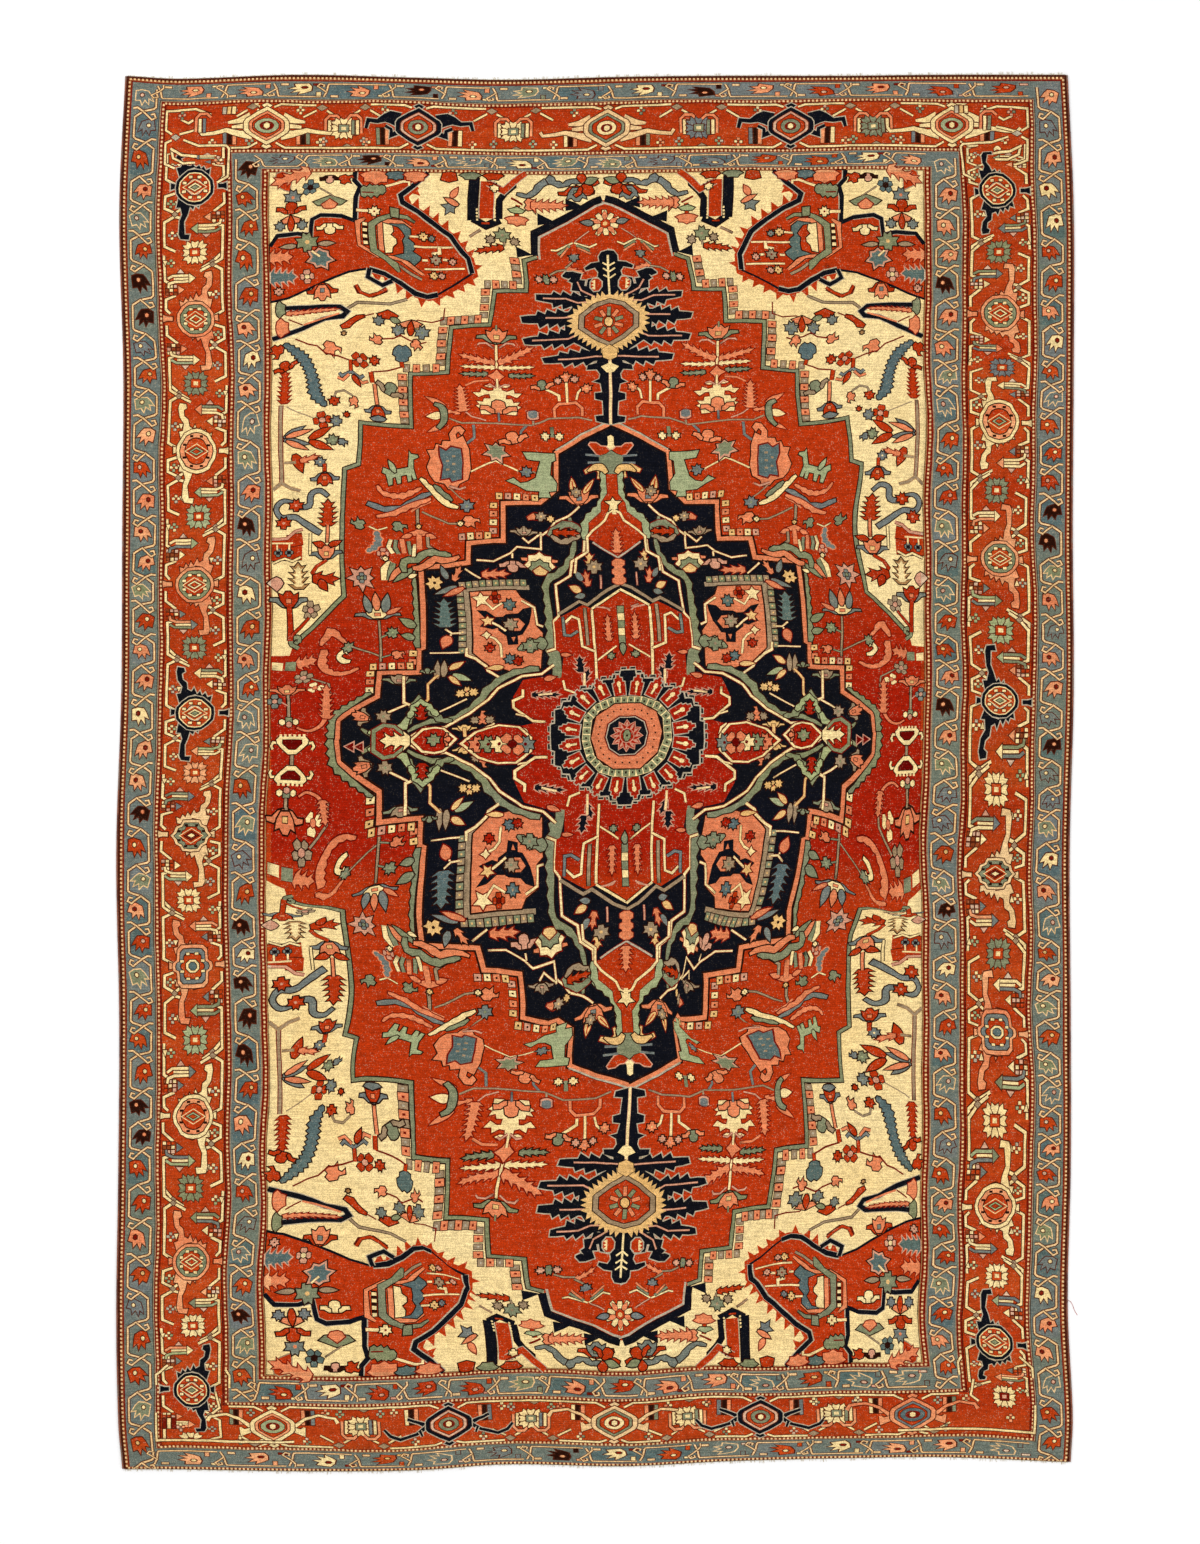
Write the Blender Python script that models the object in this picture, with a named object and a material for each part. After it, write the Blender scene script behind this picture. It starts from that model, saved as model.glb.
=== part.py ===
"""Hand-knotted room-size rug, laid flat with its pile up.

The knotted body is one sheet of wool pile on its woven foundation. A wool-wrapped cord is
sewn along each long side, the cut warp ends stand out as a short comb at each end, and one
end of the wrapping yarn has worked loose low on the right side.
+X runs across the rug, +Y towards its head end and +Z up, with the floor at Z = 0.
"""

import random

import bpy
from mathutils import Vector

KNOT = 0.0036  # pitch of one knot, seven to the inch
BODY_THICKNESS = 0.008  # 3 mm of foundation under 5 mm of pile
EDGE_ROUND = 0.0015  # the pile's outer edge is worn to this radius
CORD_DIAMETER = 0.007  # overcast side cord
SEAT_GAP = 0.0003  # left between pieces that touch

# The outline is uneven, as a hand-woven rug comes off its loom. All columns are in knots
# from the rug's middle. A row of SIDES gives both long edges at one height up the rug, and
# they include the side cords. A row of ENDS gives both short edges at one place across.
SIDES = (
    # up, left, right
    (696, -471, 472),
    (560, -477, 478),
    (400, -473, 478),
    (240, -474, 477),
    (80, -475, 478),
    (-80, -480, 474),
    (-250, -477, 475),
    (-400, -478, 475),
    (-540, -480, 472),
    (-650, -478, 477),
    (-696, -474, 475),
)
ENDS = (
    # across, top, bottom
    (-472, 696, -697),
    (-420, 693, -697),
    (-300, 697, -699),
    (-180, 694, -698),
    (-90, 692, -692),
    (30, 695, -694),
    (130, 696, -689),
    (250, 696, -686),
    (350, 697, -685),
    (472, 697, -690),
)
HALF_ACROSS = 472
HALF_UP = 696
SIDE_STEPS = 60
END_STEPS = 42

FRINGE_THICKNESS = 0.002
FRINGE_WEB = 0.004  # depth of the flat-woven web that the warp ends leave
TUFT_PITCH = 0.036
TUFT_WIDTH = 0.024
TUFT_SHORTEST = 0.004
TUFT_LONGEST = 0.014
FRINGE_SEED = 11

YARN_DIAMETER = 0.0018
YARN_UP = -534 * KNOT  # height up the rug where the yarn leaves the side cord
# The loose yarn's own route. Columns are metres out from the cord's face, metres towards
# the foot of the rug, and metres above the floor.
YARN_ROUTE = (
    # out, down, height
    (0.0000, 0.0000, 0.0035),
    (0.0045, 0.0010, 0.0034),
    (0.0085, 0.0035, 0.0029),
    (0.0115, 0.0070, 0.0022),
    (0.0140, 0.0110, 0.0015),
    (0.0160, 0.0150, 0.0011),
    (0.0180, 0.0195, 0.0010),
    (0.0196, 0.0240, 0.0010),
    (0.0212, 0.0285, 0.0010),
    (0.0230, 0.0330, 0.0010),
    (0.0250, 0.0375, 0.0010),
    (0.0272, 0.0418, 0.0010),
    (0.0296, 0.0460, 0.0010),
    (0.0320, 0.0500, 0.0010),
    (0.0342, 0.0535, 0.0010),
)

WOOL_RED = (0.44, 0.055, 0.020)
WOOL_BROWN = (0.19, 0.055, 0.028)
WARP_IVORY = (0.72, 0.62, 0.42)
YARN_ROSE = (0.55, 0.13, 0.12)


def clear_scene():
    for obj in list(bpy.data.objects):
        bpy.data.objects.remove(obj, do_unlink=True)


def wool(name, colour, roughness):
    """A matt material in one dyed colour."""
    material = bpy.data.materials.new(name)
    material.use_nodes = True
    shader = material.node_tree.nodes["Principled BSDF"]
    shader.inputs["Base Color"].default_value = (*colour, 1.0)
    shader.inputs["Roughness"].default_value = roughness
    shader.inputs["Metallic"].default_value = 0.0
    return material


def read_table(rows, column, at):
    """A column of a table at a place between its rows, on a Catmull-Rom curve."""
    rows = sorted(rows)
    at = min(max(at, rows[0][0]), rows[-1][0])
    i = next(k for k in range(len(rows) - 1) if at <= rows[k + 1][0])
    before, start = rows[max(i - 1, 0)], rows[i]
    end, after = rows[i + 1], rows[min(i + 2, len(rows) - 1)]
    step = end[0] - start[0]
    t = (at - start[0]) / step
    slope_in = (end[column] - before[column]) / (end[0] - before[0]) * step
    slope_out = (after[column] - start[column]) / (after[0] - start[0]) * step
    return (
        (2 * t**3 - 3 * t**2 + 1) * start[column]
        + (t**3 - 2 * t**2 + t) * slope_in
        + (3 * t**2 - 2 * t**3) * end[column]
        + (t**3 - t**2) * slope_out
    )


def on_rug(across, up, inset=0.0):
    """A point of the uneven rug in metres. across and up run from -1 to 1 from edge to edge,
    and inset draws the two long sides in by that many metres."""
    high, wide = up * HALF_UP, across * HALF_ACROSS
    left = read_table(SIDES, 1, high) * KNOT + inset
    right = read_table(SIDES, 2, high) * KNOT - inset
    top = read_table(ENDS, 1, wide) * KNOT
    bottom = read_table(ENDS, 2, wide) * KNOT
    x = left + (right - left) * (across + 1) / 2
    y = bottom + (top - bottom) * (up + 1) / 2
    return Vector((x, y, 0.0))


def steps(count):
    """Even places from -1 to 1."""
    return [2 * k / count - 1 for k in range(count + 1)]


def curve_object(name, points, closed, material, collection):
    """A poly curve object through the points, flat and filled if it is closed."""
    data = bpy.data.curves.new(name, "CURVE")
    data.dimensions = "2D" if closed else "3D"
    spline = data.splines.new("POLY")
    spline.points.add(len(points) - 1)
    for point, place in zip(spline.points, points):
        point.co = (*place, 1.0)
    spline.use_cyclic_u = closed
    data.materials.append(material)
    obj = bpy.data.objects.new(name, data)
    collection.objects.link(obj)
    return obj


def flat_piece(name, outline, thickness, edge, material, collection):
    """A flat outline given its thickness, with edges rounded to the radius edge."""
    obj = curve_object(name, outline, True, material, collection)
    obj.data.fill_mode = "BOTH"
    obj.data.extrude = thickness / 2 - edge
    obj.data.bevel_depth = edge
    obj.data.bevel_resolution = 1
    obj.data.offset = -edge
    obj.location.z = thickness / 2
    return obj


def round_piece(name, route, diameter, material, collection):
    """A round cord along the route, with closed ends."""
    obj = curve_object(name, route, False, material, collection)
    obj.data.fill_mode = "FULL"
    obj.data.bevel_depth = diameter / 2
    obj.data.bevel_resolution = 2
    obj.data.use_fill_caps = True
    return obj


def rug_body(material, collection):
    """The knotted sheet inside its two side cords."""
    inset = CORD_DIAMETER + SEAT_GAP
    foot = [on_rug(across, -1, inset) for across in steps(END_STEPS)]
    right = [on_rug(1, up, inset) for up in steps(SIDE_STEPS)]
    head = [on_rug(across, 1, inset) for across in reversed(steps(END_STEPS))]
    left = [on_rug(-1, up, inset) for up in reversed(steps(SIDE_STEPS))]
    outline = foot[:-1] + right[:-1] + head[:-1] + left[:-1]
    return flat_piece(
        "rug_body", outline, BODY_THICKNESS, EDGE_ROUND, material, collection
    )


def side_cord(name, side, material, collection):
    """The overcast cord along one long side, on the floor beside the body."""
    radius = CORD_DIAMETER / 2
    route = []
    for up in steps(SIDE_STEPS):
        point = on_rug(side, up, radius)
        point.z = radius
        route.append(point)
    return round_piece(name, route, CORD_DIAMETER, material, collection)


def warp_fringe(name, end, material, collection):
    """The web and the cut warp ends beyond one short edge, as one comb of uneven tufts."""
    lengths = random.Random(FRINGE_SEED + end)
    inset = CORD_DIAMETER + SEAT_GAP
    inner, outer = [], []
    width = (on_rug(1, end, inset) - on_rug(-1, end, inset)).length
    tufts = int(width / TUFT_PITCH)
    half_tuft = TUFT_WIDTH / width
    for k in range(tufts):
        middle = 2 * (k + 0.5) / tufts - 1
        reach = lengths.uniform(TUFT_SHORTEST, TUFT_LONGEST)
        for side in (-1, 1):
            base = on_rug(middle + side * half_tuft, end, inset)
            root = Vector((0, end * (SEAT_GAP + FRINGE_WEB), 0))
            tip = root + Vector((0, end * reach, 0))
            outer += [base + root, base + tip] if side < 0 else [base + tip, base + root]
    for across in steps(END_STEPS):
        inner.append(on_rug(across, end, inset) + Vector((0, end * SEAT_GAP, 0)))
    web = Vector((0, end * FRINGE_WEB, 0))
    outline = inner + [inner[-1] + web] + outer[::-1] + [inner[0] + web]
    if end > 0:
        outline.reverse()
    return flat_piece(name, outline, FRINGE_THICKNESS, 0.0, material, collection)


def loose_yarn(material, collection):
    """The end of wrapping yarn that has come away from the right side cord."""
    face = on_rug(1, YARN_UP / (HALF_UP * KNOT)) + Vector((SEAT_GAP, 0, 0))
    route = [face + Vector((out, -down, height)) for out, down, height in YARN_ROUTE]
    return round_piece(
        "loose_yarn_end", route, YARN_DIAMETER, material, collection
    )


def main():
    clear_scene()
    rug = bpy.data.collections.new("hand_knotted_rug")
    bpy.context.scene.collection.children.link(rug)
    pile = wool("knotted wool pile", WOOL_RED, 0.95)
    wrapping = wool("overcasting wool", WOOL_BROWN, 0.95)
    warp = wool("warp ends", WARP_IVORY, 0.9)
    yarn = wool("loose yarn", YARN_ROSE, 0.9)
    rug_body(pile, rug)
    side_cord("side_cord_left", -1, wrapping, rug)
    side_cord("side_cord_right", 1, wrapping, rug)
    warp_fringe("warp_fringe_top", 1, warp, rug)
    warp_fringe("warp_fringe_bottom", -1, warp, rug)
    loose_yarn(yarn, rug)


main()
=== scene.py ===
"""Room-size hand-knotted medallion rug, laid flat with its pile up.

The rug's pattern is drawn in knots, as a weaver's cartoon is: every motif is a handful of
outlines laid one over another, and a plane cut along those outlines becomes the pile.
Along x the cartoon runs across the rug, along y towards its head end.
"""

import math
import random

import bpy
import numpy as np
from bpy.props import FloatProperty, FloatVectorProperty, IntProperty, PointerProperty
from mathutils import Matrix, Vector
from mathutils.geometry import delaunay_2d_cdt


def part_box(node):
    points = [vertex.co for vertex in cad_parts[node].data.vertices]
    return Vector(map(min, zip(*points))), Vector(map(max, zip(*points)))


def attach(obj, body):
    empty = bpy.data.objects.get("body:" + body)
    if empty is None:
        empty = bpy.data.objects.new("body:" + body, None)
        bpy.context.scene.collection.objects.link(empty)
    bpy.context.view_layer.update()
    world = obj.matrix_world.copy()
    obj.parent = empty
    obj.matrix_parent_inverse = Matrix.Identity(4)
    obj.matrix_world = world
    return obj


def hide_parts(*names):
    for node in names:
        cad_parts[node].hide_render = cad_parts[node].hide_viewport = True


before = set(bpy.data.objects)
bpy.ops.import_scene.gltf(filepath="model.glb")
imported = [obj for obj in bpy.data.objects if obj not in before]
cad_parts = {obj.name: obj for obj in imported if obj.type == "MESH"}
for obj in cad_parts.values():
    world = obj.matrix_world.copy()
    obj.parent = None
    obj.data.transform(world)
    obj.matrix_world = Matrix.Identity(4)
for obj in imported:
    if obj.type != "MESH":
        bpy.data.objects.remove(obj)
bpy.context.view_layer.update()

bl_info = {
    "name": "Hand-Knotted Medallion Rug",
    "version": (1, 0, 0),
    "blender": (4, 5, 0),
    "location": "3D View > Sidebar > Rug",
    "description": "Weaves a room-size medallion rug with its cords, fringes and studio",
    "category": "Add Mesh",
}

KNOT = 0.0036  # pitch of one knot, in metres
SEAT_GAP = 0.0003  # between pieces that touch
CORD_DIAMETER = 0.007
PILE_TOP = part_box("rug_body")[1][2]
PILE_FOOT = 0.003  # where the pile leaves its foundation
EDGE_ROUND = 0.0015
PILE_SWELL = 0.0002  # how far the worn pile rises and falls
MESH_SPACING = 15.0  # longest edge of the pile's mesh, in knots
LEAST_ON_BACK = 26  # smallest outline that still shows on the woven back, in square knots

TUFT_PITCH = 0.036  # along the fringes
TUFT_SPREAD = 0.0062  # to either side, in parts of half the rug's width
FRINGE_HEIGHT = 0.0011  # of the warp ends above the floor
WEB_OUT = 0.0024  # the fringe's web out from the rug's end
WEB_RADIUS = 0.0009
STRAND_RADIUS = 0.0006
STRAND_REACH = (0.004, 0.0135)  # shortest and longest tuft

FLOOR_HALF = 20.0
LENS = 85.0  # in millimetres, as is the sensor's height
SENSOR = 36.0
AIR_LIGHT = 0.78
LAMPS = (
    # name, place, size in metres, power in watts
    ("key", (-5.0, 4.0, 7.0), 5.0, 290.0), ("fill", (5.5, -4.0, 7.0), 6.0, 180.0),
)

# Both long edges at heights up the rug, and both short edges at places across it, in knots.
SIDES = (
    # up, left, right
    (696, -471, 472), (560, -477, 478), (400, -473, 478), (240, -474, 477), (80, -475, 478),
    (-80, -480, 474), (-250, -477, 475), (-400, -478, 475), (-540, -480, 472),
    (-650, -478, 477), (-696, -474, 475),
)
ENDS = (
    # across, top, bottom
    (-472, 696, -697), (-420, 693, -697), (-300, 697, -699), (-180, 694, -698),
    (-90, 692, -692), (30, 695, -694), (130, 696, -689), (250, 696, -686), (350, 697, -685),
    (472, 697, -690),
)
HALF_ACROSS = 472
HALF_UP = 696

# The loose yarn's route: metres out from the cord, towards the rug's foot, above the floor.
YARN_UP = -534
YARN_DIAMETER = 0.0018
YARN_ROUTE = (
    (0.0000, 0.0000, 0.0035), (0.0045, 0.0010, 0.0034), (0.0085, 0.0035, 0.0029),
    (0.0115, 0.0070, 0.0022), (0.0140, 0.0110, 0.0015), (0.0160, 0.0150, 0.0011),
    (0.0180, 0.0195, 0.0010), (0.0196, 0.0240, 0.0010), (0.0212, 0.0285, 0.0010),
    (0.0230, 0.0330, 0.0010), (0.0250, 0.0375, 0.0010), (0.0272, 0.0418, 0.0010),
    (0.0296, 0.0460, 0.0010), (0.0320, 0.0500, 0.0010), (0.0342, 0.0535, 0.0010),
)

# Dyed wools, as they look on the rug: red, green and blue shares, and which dye bath each
# came from, for the streaks of one dyeing next to another.
WOOLS = {
    "red": ((0.690, 0.200, 0.050), "madder"),
    "madder": ((0.665, 0.200, 0.055), "madder"),
    "rust": ((0.520, 0.215, 0.095), "madder"),
    "deep": ((0.440, 0.070, 0.020), "madder"),
    "salmon": ((0.860, 0.495, 0.325), "madder"),
    "pink": ((0.800, 0.570, 0.455), "madder"),
    "peach": ((0.885, 0.735, 0.530), "undyed"),
    "cream": ((0.921, 0.818, 0.588), "undyed"),
    "gold": ((0.860, 0.690, 0.440), "undyed"),
    "greige": ((0.590, 0.500, 0.390), "undyed"),
    "grey": ((0.690, 0.640, 0.550), "undyed"),
    "tan": ((0.640, 0.470, 0.290), "undyed"),
    "green": ((0.470, 0.485, 0.375), "indigo"),
    "sage": ((0.590, 0.615, 0.460), "indigo"),
    "blue": ((0.325, 0.390, 0.390), "indigo"),
    "slate": ((0.420, 0.440, 0.430), "indigo"),
    "guard": ((0.400, 0.430, 0.405), "indigo"),
    "navy": ((0.055, 0.060, 0.090), "indigo"),
    "brown": ((0.150, 0.055, 0.025), "dark"),
    "umber": ((0.300, 0.110, 0.045), "dark"),
}
DYE_BATHS = ("madder", "indigo", "undyed")


# The pattern is a weaver's cartoon: flat patches of dyed wool in painter's order, measured in
# knots. Every motif below is drawn pointing up from the origin, and is then put in its place.


def places(text):
    """Pairs of numbers from a line of text, across and up in turn."""
    return np.reshape([float(number) for number in text.split()], (-1, 2))


def run_of(line):
    """Length of the way from a line's start to each of its points."""
    legs = np.linalg.norm(np.diff(line, axis=0), axis=1)
    return np.concatenate(((0,), np.cumsum(legs)))


def walk(line, at):
    """The points at given lengths along a line, and its direction at each of them."""
    run = run_of(line)
    points = np.stack((np.interp(at, run, line[:, 0]), np.interp(at, run, line[:, 1])), axis=1)
    leg = np.clip(np.searchsorted(run, at) - 1, 0, len(line) - 2)
    return points, line[leg + 1] - line[leg]


def turned(points, degrees):
    """Points turned about the origin."""
    angle = math.radians(degrees)
    across = np.array((math.cos(angle), -math.sin(angle)))
    along = np.array((math.sin(angle), math.cos(angle)))
    points = np.asarray(points, float)
    return np.stack((points @ across, points @ along), axis=1)


def curve(points, steps=4):
    """A smooth line through the points: between each two of them the Catmull-Rom cubic of
    those two and their outer neighbours."""
    points = np.asarray(points, float)
    padded = np.vstack((2 * points[0] - points[1], points, 2 * points[-1] - points[-2]))
    t = (np.arange(steps) / steps)[None, :, None]
    a, b, c, d = (padded[k : len(padded) - 3 + k, None] for k in range(4))
    inner = 0.5 * (
        2 * b + (c - a) * t + (2 * a - 5 * b + 4 * c - d) * t**2 + (3 * b - a - 3 * c + d) * t**3
    )
    return np.vstack((inner.reshape(-1, 2), points[-1:]))


def area(points):
    """Signed area of a ring, half the sum of its points' cross products."""
    after = np.roll(points, -1, axis=0)
    return 0.5 * np.sum(points[:, 0] * after[:, 1] - points[:, 1] * after[:, 0])


def mitres(before, after, limit=2.0):
    """The shift of each corner that moves both of its sides by one knot to their left."""
    left_1 = np.stack((-before[:, 1], before[:, 0]), axis=1)
    left_2 = np.stack((-after[:, 1], after[:, 0]), axis=1)
    left_1 /= np.maximum(np.linalg.norm(left_1, axis=1, keepdims=True), 1e-9)
    left_2 /= np.maximum(np.linalg.norm(left_2, axis=1, keepdims=True), 1e-9)
    middle = left_1 + left_2
    middle /= np.maximum(np.linalg.norm(middle, axis=1, keepdims=True), 1e-9)
    reach = np.sum(middle * left_2, axis=1, keepdims=True)
    return middle / np.maximum(reach, 1 / limit)


def grow(ring, width):
    """A ring made wider on all sides, for the dark line round a patch."""
    ring = np.asarray(ring, float)
    if area(ring) < 0:
        ring = ring[::-1]
    after = np.roll(ring, -1, axis=0) - ring
    before = np.roll(after, 1, axis=0)
    return ring - mitres(before, after) * width


def ribbon(line, width):
    """A line given a width, one number or one for each point, as a ring."""
    line = np.asarray(line, float)
    step = np.diff(line, axis=0)
    before = np.vstack((step[:1], step))
    after = np.vstack((step, step[-1:]))
    half = np.broadcast_to(np.asarray(width, float), len(line))[:, None] / 2
    shift = mitres(before, after) * half
    return np.vstack((line - shift, (line + shift)[::-1]))


def patch(ring, wool, edge=None, width=1.15):
    """One patch, with a line of another wool round it."""
    ring = np.asarray(ring, float)
    if edge is None:
        return [(ring, wool)]
    return [(grow(ring, width), edge), (ring, wool)]


def stem(line, wool, width=1.8, edge="brown", edge_width=0.9):
    """A narrow line of wool with its dark sides."""
    line = np.asarray(line, float)
    rings = []
    if edge is not None:
        rings.append((ribbon(line, np.asarray(width) + 2 * edge_width), edge))
    return rings + [(ribbon(line, width), wool)]


def put(patches, x=0.0, y=0.0, turn=0.0, flip=False):
    """Patches flipped left to right if asked, turned, and moved to their place."""
    placed = []
    for ring, wool in patches:
        ring = ring * (-1, 1) if flip else ring
        placed.append((turned(ring, turn) + (x, y), wool))
    return placed


def mirrored(rings):
    """Patches and their mirror image across the upright middle line."""
    return rings + put(rings, flip=True)


def whole(half_ring):
    """A ring from its left half, given from the top down."""
    return np.vstack((half_ring, (half_ring * (-1, 1))[::-1]))


def disc(radius, sides=8, stretch=1.0, lift=0.0):
    """A round ring, radius knots from its middle at each of its corners."""
    angle = np.arange(sides) * 2 * math.pi / sides + math.pi / sides
    return np.stack((radius * np.cos(angle), lift + stretch * radius * np.sin(angle)), axis=1)


def box(width, height, lift=0.0):
    """A rectangle whose middle is lift above the origin."""
    w, h = width / 2, height / 2
    return np.array(((-w, lift - h), (w, lift - h), (w, lift + h), (-w, lift + h)))


def tile(width, height, wool, edge="brown", edge_width=0.8):
    """An oblong in one wool with a line round it."""
    return patch(box(width, height), wool, edge, edge_width)


def gem(radius, sides, wool, edge="brown", edge_width=0.8, stretch=1.0):
    """A round patch in one wool with a line round it."""
    return patch(disc(radius, sides, stretch), wool, edge, edge_width)


def leaf(length, width, wool, edge="brown", teeth=0, bend=0.0, rib=None):
    """A leaf along a parabola. Without teeth its half width is a half sine of the way along.
    With teeth it is a narrow blade with a row of slanting spikes on each side."""
    if teeth:
        tier = np.arange(teeth)[:, None] / teeth
        half = (width / 2 * (1 - 0.5 * tier**2) * (0.44, 1.0, 0.5)).ravel()
        reach = (length * (0.94 * tier + np.array((0.0, 0.66, 0.5)) / teeth)).ravel()
        half, reach = np.append(half, 0), np.append(reach, length)
    else:
        along = np.linspace(0, 1, 7)
        half = width / 2 * np.sin(math.pi * (0.08 + 0.92 * along) ** 0.85)
        half[-1] = 0
        reach = along * length
    middle = bend * (reach / length) ** 2
    sides = [np.stack((middle + shift, reach), axis=1) for shift in (half, -half)]
    ring = np.vstack((sides[0], sides[1][-2::-1]))
    rings = patch(ring, wool, edge)
    if rib:
        spine = np.stack((middle, reach), axis=1)[1:-1]
        rings.append((ribbon(spine[:: max(len(spine) // 4, 1)], 1.2), rib))
    return rings


def blade(line, widths, wool, edge="brown", teeth=0, side=0, depth=0.55):
    """A leaf on any curved line: its width follows the widths given at even steps along it.
    Teeth cut it back at every other point, on both sides or on the left (1) or right (-1)."""
    line = curve(line)
    count = 2 * teeth + 1 if teeth else len(line)
    length = run_of(line)[-1]
    at = np.linspace(0, length, count)
    spine = walk(line, at)[0]
    half = np.interp(at, np.linspace(0, length, len(widths)), widths) / 2
    step = np.diff(spine, axis=0)
    shift = mitres(np.vstack((step[:1], step)), np.vstack((step, step[-1:])), 1.3)
    left, right = half.copy(), half.copy()
    if teeth:
        left[::2] *= depth if side >= 0 else 1
        right[::2] *= depth if side <= 0 else 1
    ring = np.vstack((spine - shift * right[:, None], (spine + shift * left[:, None])[::-1]))
    return patch(ring, wool, edge)


def rosette(radius, petals, wool, core, edge="brown", heart=None):
    """A small blossom: square-shouldered petals that stand apart about a core."""
    rings = []
    for k in range(petals):
        reach = radius * (1.0, 0.86)[k % 2]
        broad = radius * min(0.5, 1.7 / petals)
        petal = ((-0.45 * broad, 0.3 * radius), (0.45 * broad, 0.3 * radius),
                 (broad, 0.6 * radius), (0.75 * broad, reach), (-0.75 * broad, reach),
                 (-broad, 0.6 * radius))
        rings += put(patch(petal, wool, edge, 0.8), turn=k * 360 / petals)
    rings += patch(disc(radius * 0.34, 6), core, edge, 0.7)
    if heart:
        rings.append((disc(radius * 0.16, 6), heart))
    return rings


def star(radius, points, wool, edge="brown", depth=0.5):
    """A pointed flower: the ring goes in and out between its tips and depth times that, and
    every third tip is short."""
    angle = np.arange(points * 2) * math.pi / points + math.pi / 2
    tips = radius * (0.72, 1.0, 1.1)[points % 3] * (1 - 0.22 * (np.arange(points * 2) % 3 == 0))
    reach = np.where(np.arange(points * 2) % 2 == 0, tips, radius * depth)
    ring = np.stack((np.cos(angle), np.sin(angle)), axis=1) * reach[:, None]
    return patch(ring, wool, edge)


def fan(width, height, lobes, wool, edge="brown"):
    """A half-round palmette, wide at the top: the ring follows an ellipse from one lower
    corner over the top to the other, dented between its lobes, and ends in a narrow foot."""
    dent, foot = 0.78, 0.22 * width / 2
    angle = np.linspace(-0.16, 1.16, 2 * lobes + 1) * math.pi
    reach = np.where(np.arange(2 * lobes + 1) % 2 == 1, 1.0, dent)
    x = np.cos(angle) * reach * width / 2
    y = (np.sin(angle) * reach + 0.5) * height / 1.5
    return patch(np.vstack((np.stack((x, y), axis=1), ((-foot, 0), (foot, 0)))), wool, edge)


def cup(width, height, wool, sepal, core="cream"):
    """An angular lily: two hooked arms in the sepals' wool, a spiked crown between them and a
    light core."""
    w, h = width / 2, height
    arm = ((0, -0.05 * h), (0.45 * w, 0.06 * h), (0.8 * w, 0.34 * h), (1.18 * w, 0.38 * h),
           (1.14 * w, 0.54 * h), (0.72 * w, 0.58 * h), (0.34 * w, 0.3 * h), (0, 0.22 * h))
    crown = ((-0.24 * w, 0.08 * h), (0.24 * w, 0.08 * h), (0.52 * w, 0.42 * h), (0.62 * w, 0.86 * h),
             (0.34 * w, 0.74 * h), (0.14 * w, h), (-0.14 * w, h), (-0.34 * w, 0.74 * h),
             (-0.62 * w, 0.86 * h), (-0.52 * w, 0.42 * h))
    rings = patch(arm, sepal, "brown") + patch(np.asarray(arm) * (-1, 1), sepal, "brown")
    rings += patch(crown, wool, "brown")
    return rings + patch(box(w * 0.3, h * 0.24, h * 0.4), core, "brown", 0.6)


def trefoil(size, wool, sepal):
    """A small open blossom: a squared head between two side leaves with turned-up tips."""
    rings = []
    for side in (-1, 1):
        tip = places("0 0 .55 .02 .95 .3 1.3 .3 1.25 .62 .75 .6 .45 .42 0 .36")
        rings += patch(tip * (side * size, size), sepal, "brown")
    head = places("-.24 0 .24 0 .24 .35 .5 .5 .42 .95 .16 1.1 -.16 1.1 -.42 .95 -.5 .5 -.24 .35")
    return rings + patch(head * size, wool, "brown")


def bud(size, wool):
    """A closed flower with a notched foot and a hooked tip."""
    ring = places("""
        -.3 0 0 .22 .3 0 .62 .3 .5 .72 .9 1 .3 1.02 .12 1.35 .4 1.6 0 1.6 -.16 1.05 -.5 .9 -.62 .3""")
    return patch(ring * size, wool, "brown")


def beast(size, wool):
    """A small four-legged animal seen from its side, its neck raised and its tail up."""
    ring = places("""
        -1 .55 -.8 .42 -.8 -.3 -.6 -.3 -.5 .12 -.3 .16 -.3 -.3 -.12 -.3 0 .14 .35 .14 .35 -.3 .53 -.3
        .6 .16 .66 -.26 .84 -.26 .82 .4 1 .95 1.3 1 1.28 1.15 .95 1.3 .9 1.5 .8 1.2 .55 .55 -.5 .6
        -.85 .85""")
    return patch(ring * size, wool, "brown")


def bird(size, wool):
    """A long-necked bird standing on its feet, with a crested head and a tail to its left."""
    ring = places("""
        -.8 .3 -.66 .38 -.52 .26 -.36 .3 -.2 .42 -.1 .82 -.38 .84 -.45 1 .2 1 .22 .84 .12 .8 .1 .5
        .24 .3 .22 .12 .06 .1 .1 -.04 -.14 -.04 -.12 .1 -.4 .1 -.6 .22""")
    return patch(ring * size, wool, "brown")


def posy(size, wool, core="cream"):
    """A small four-armed blossom with notched arms and a core of another wool."""
    ring = places("""
        -.35 -.95 .3 -1 .42 -.45 .95 -.5 .82 .05 1.08 .42 .45 .42 .32 1 0 .72 -.32 1 -.45 .42 -1.08 .42
        -.82 .05 -.95 -.5 -.42 -.45""")
    rings = patch(ring * size, wool, "brown")
    return rings + patch(disc(size * 0.24, 5), core)


def curl(size, wool, width=1.6):
    """A hook that turns back on itself, rising from the origin to the left."""
    line = places("0 0 0 .7 -.3 1 -.8 .9 -.95 .5 -.55 .3")
    return stem(curve(line * size, 2), wool, width)


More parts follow.
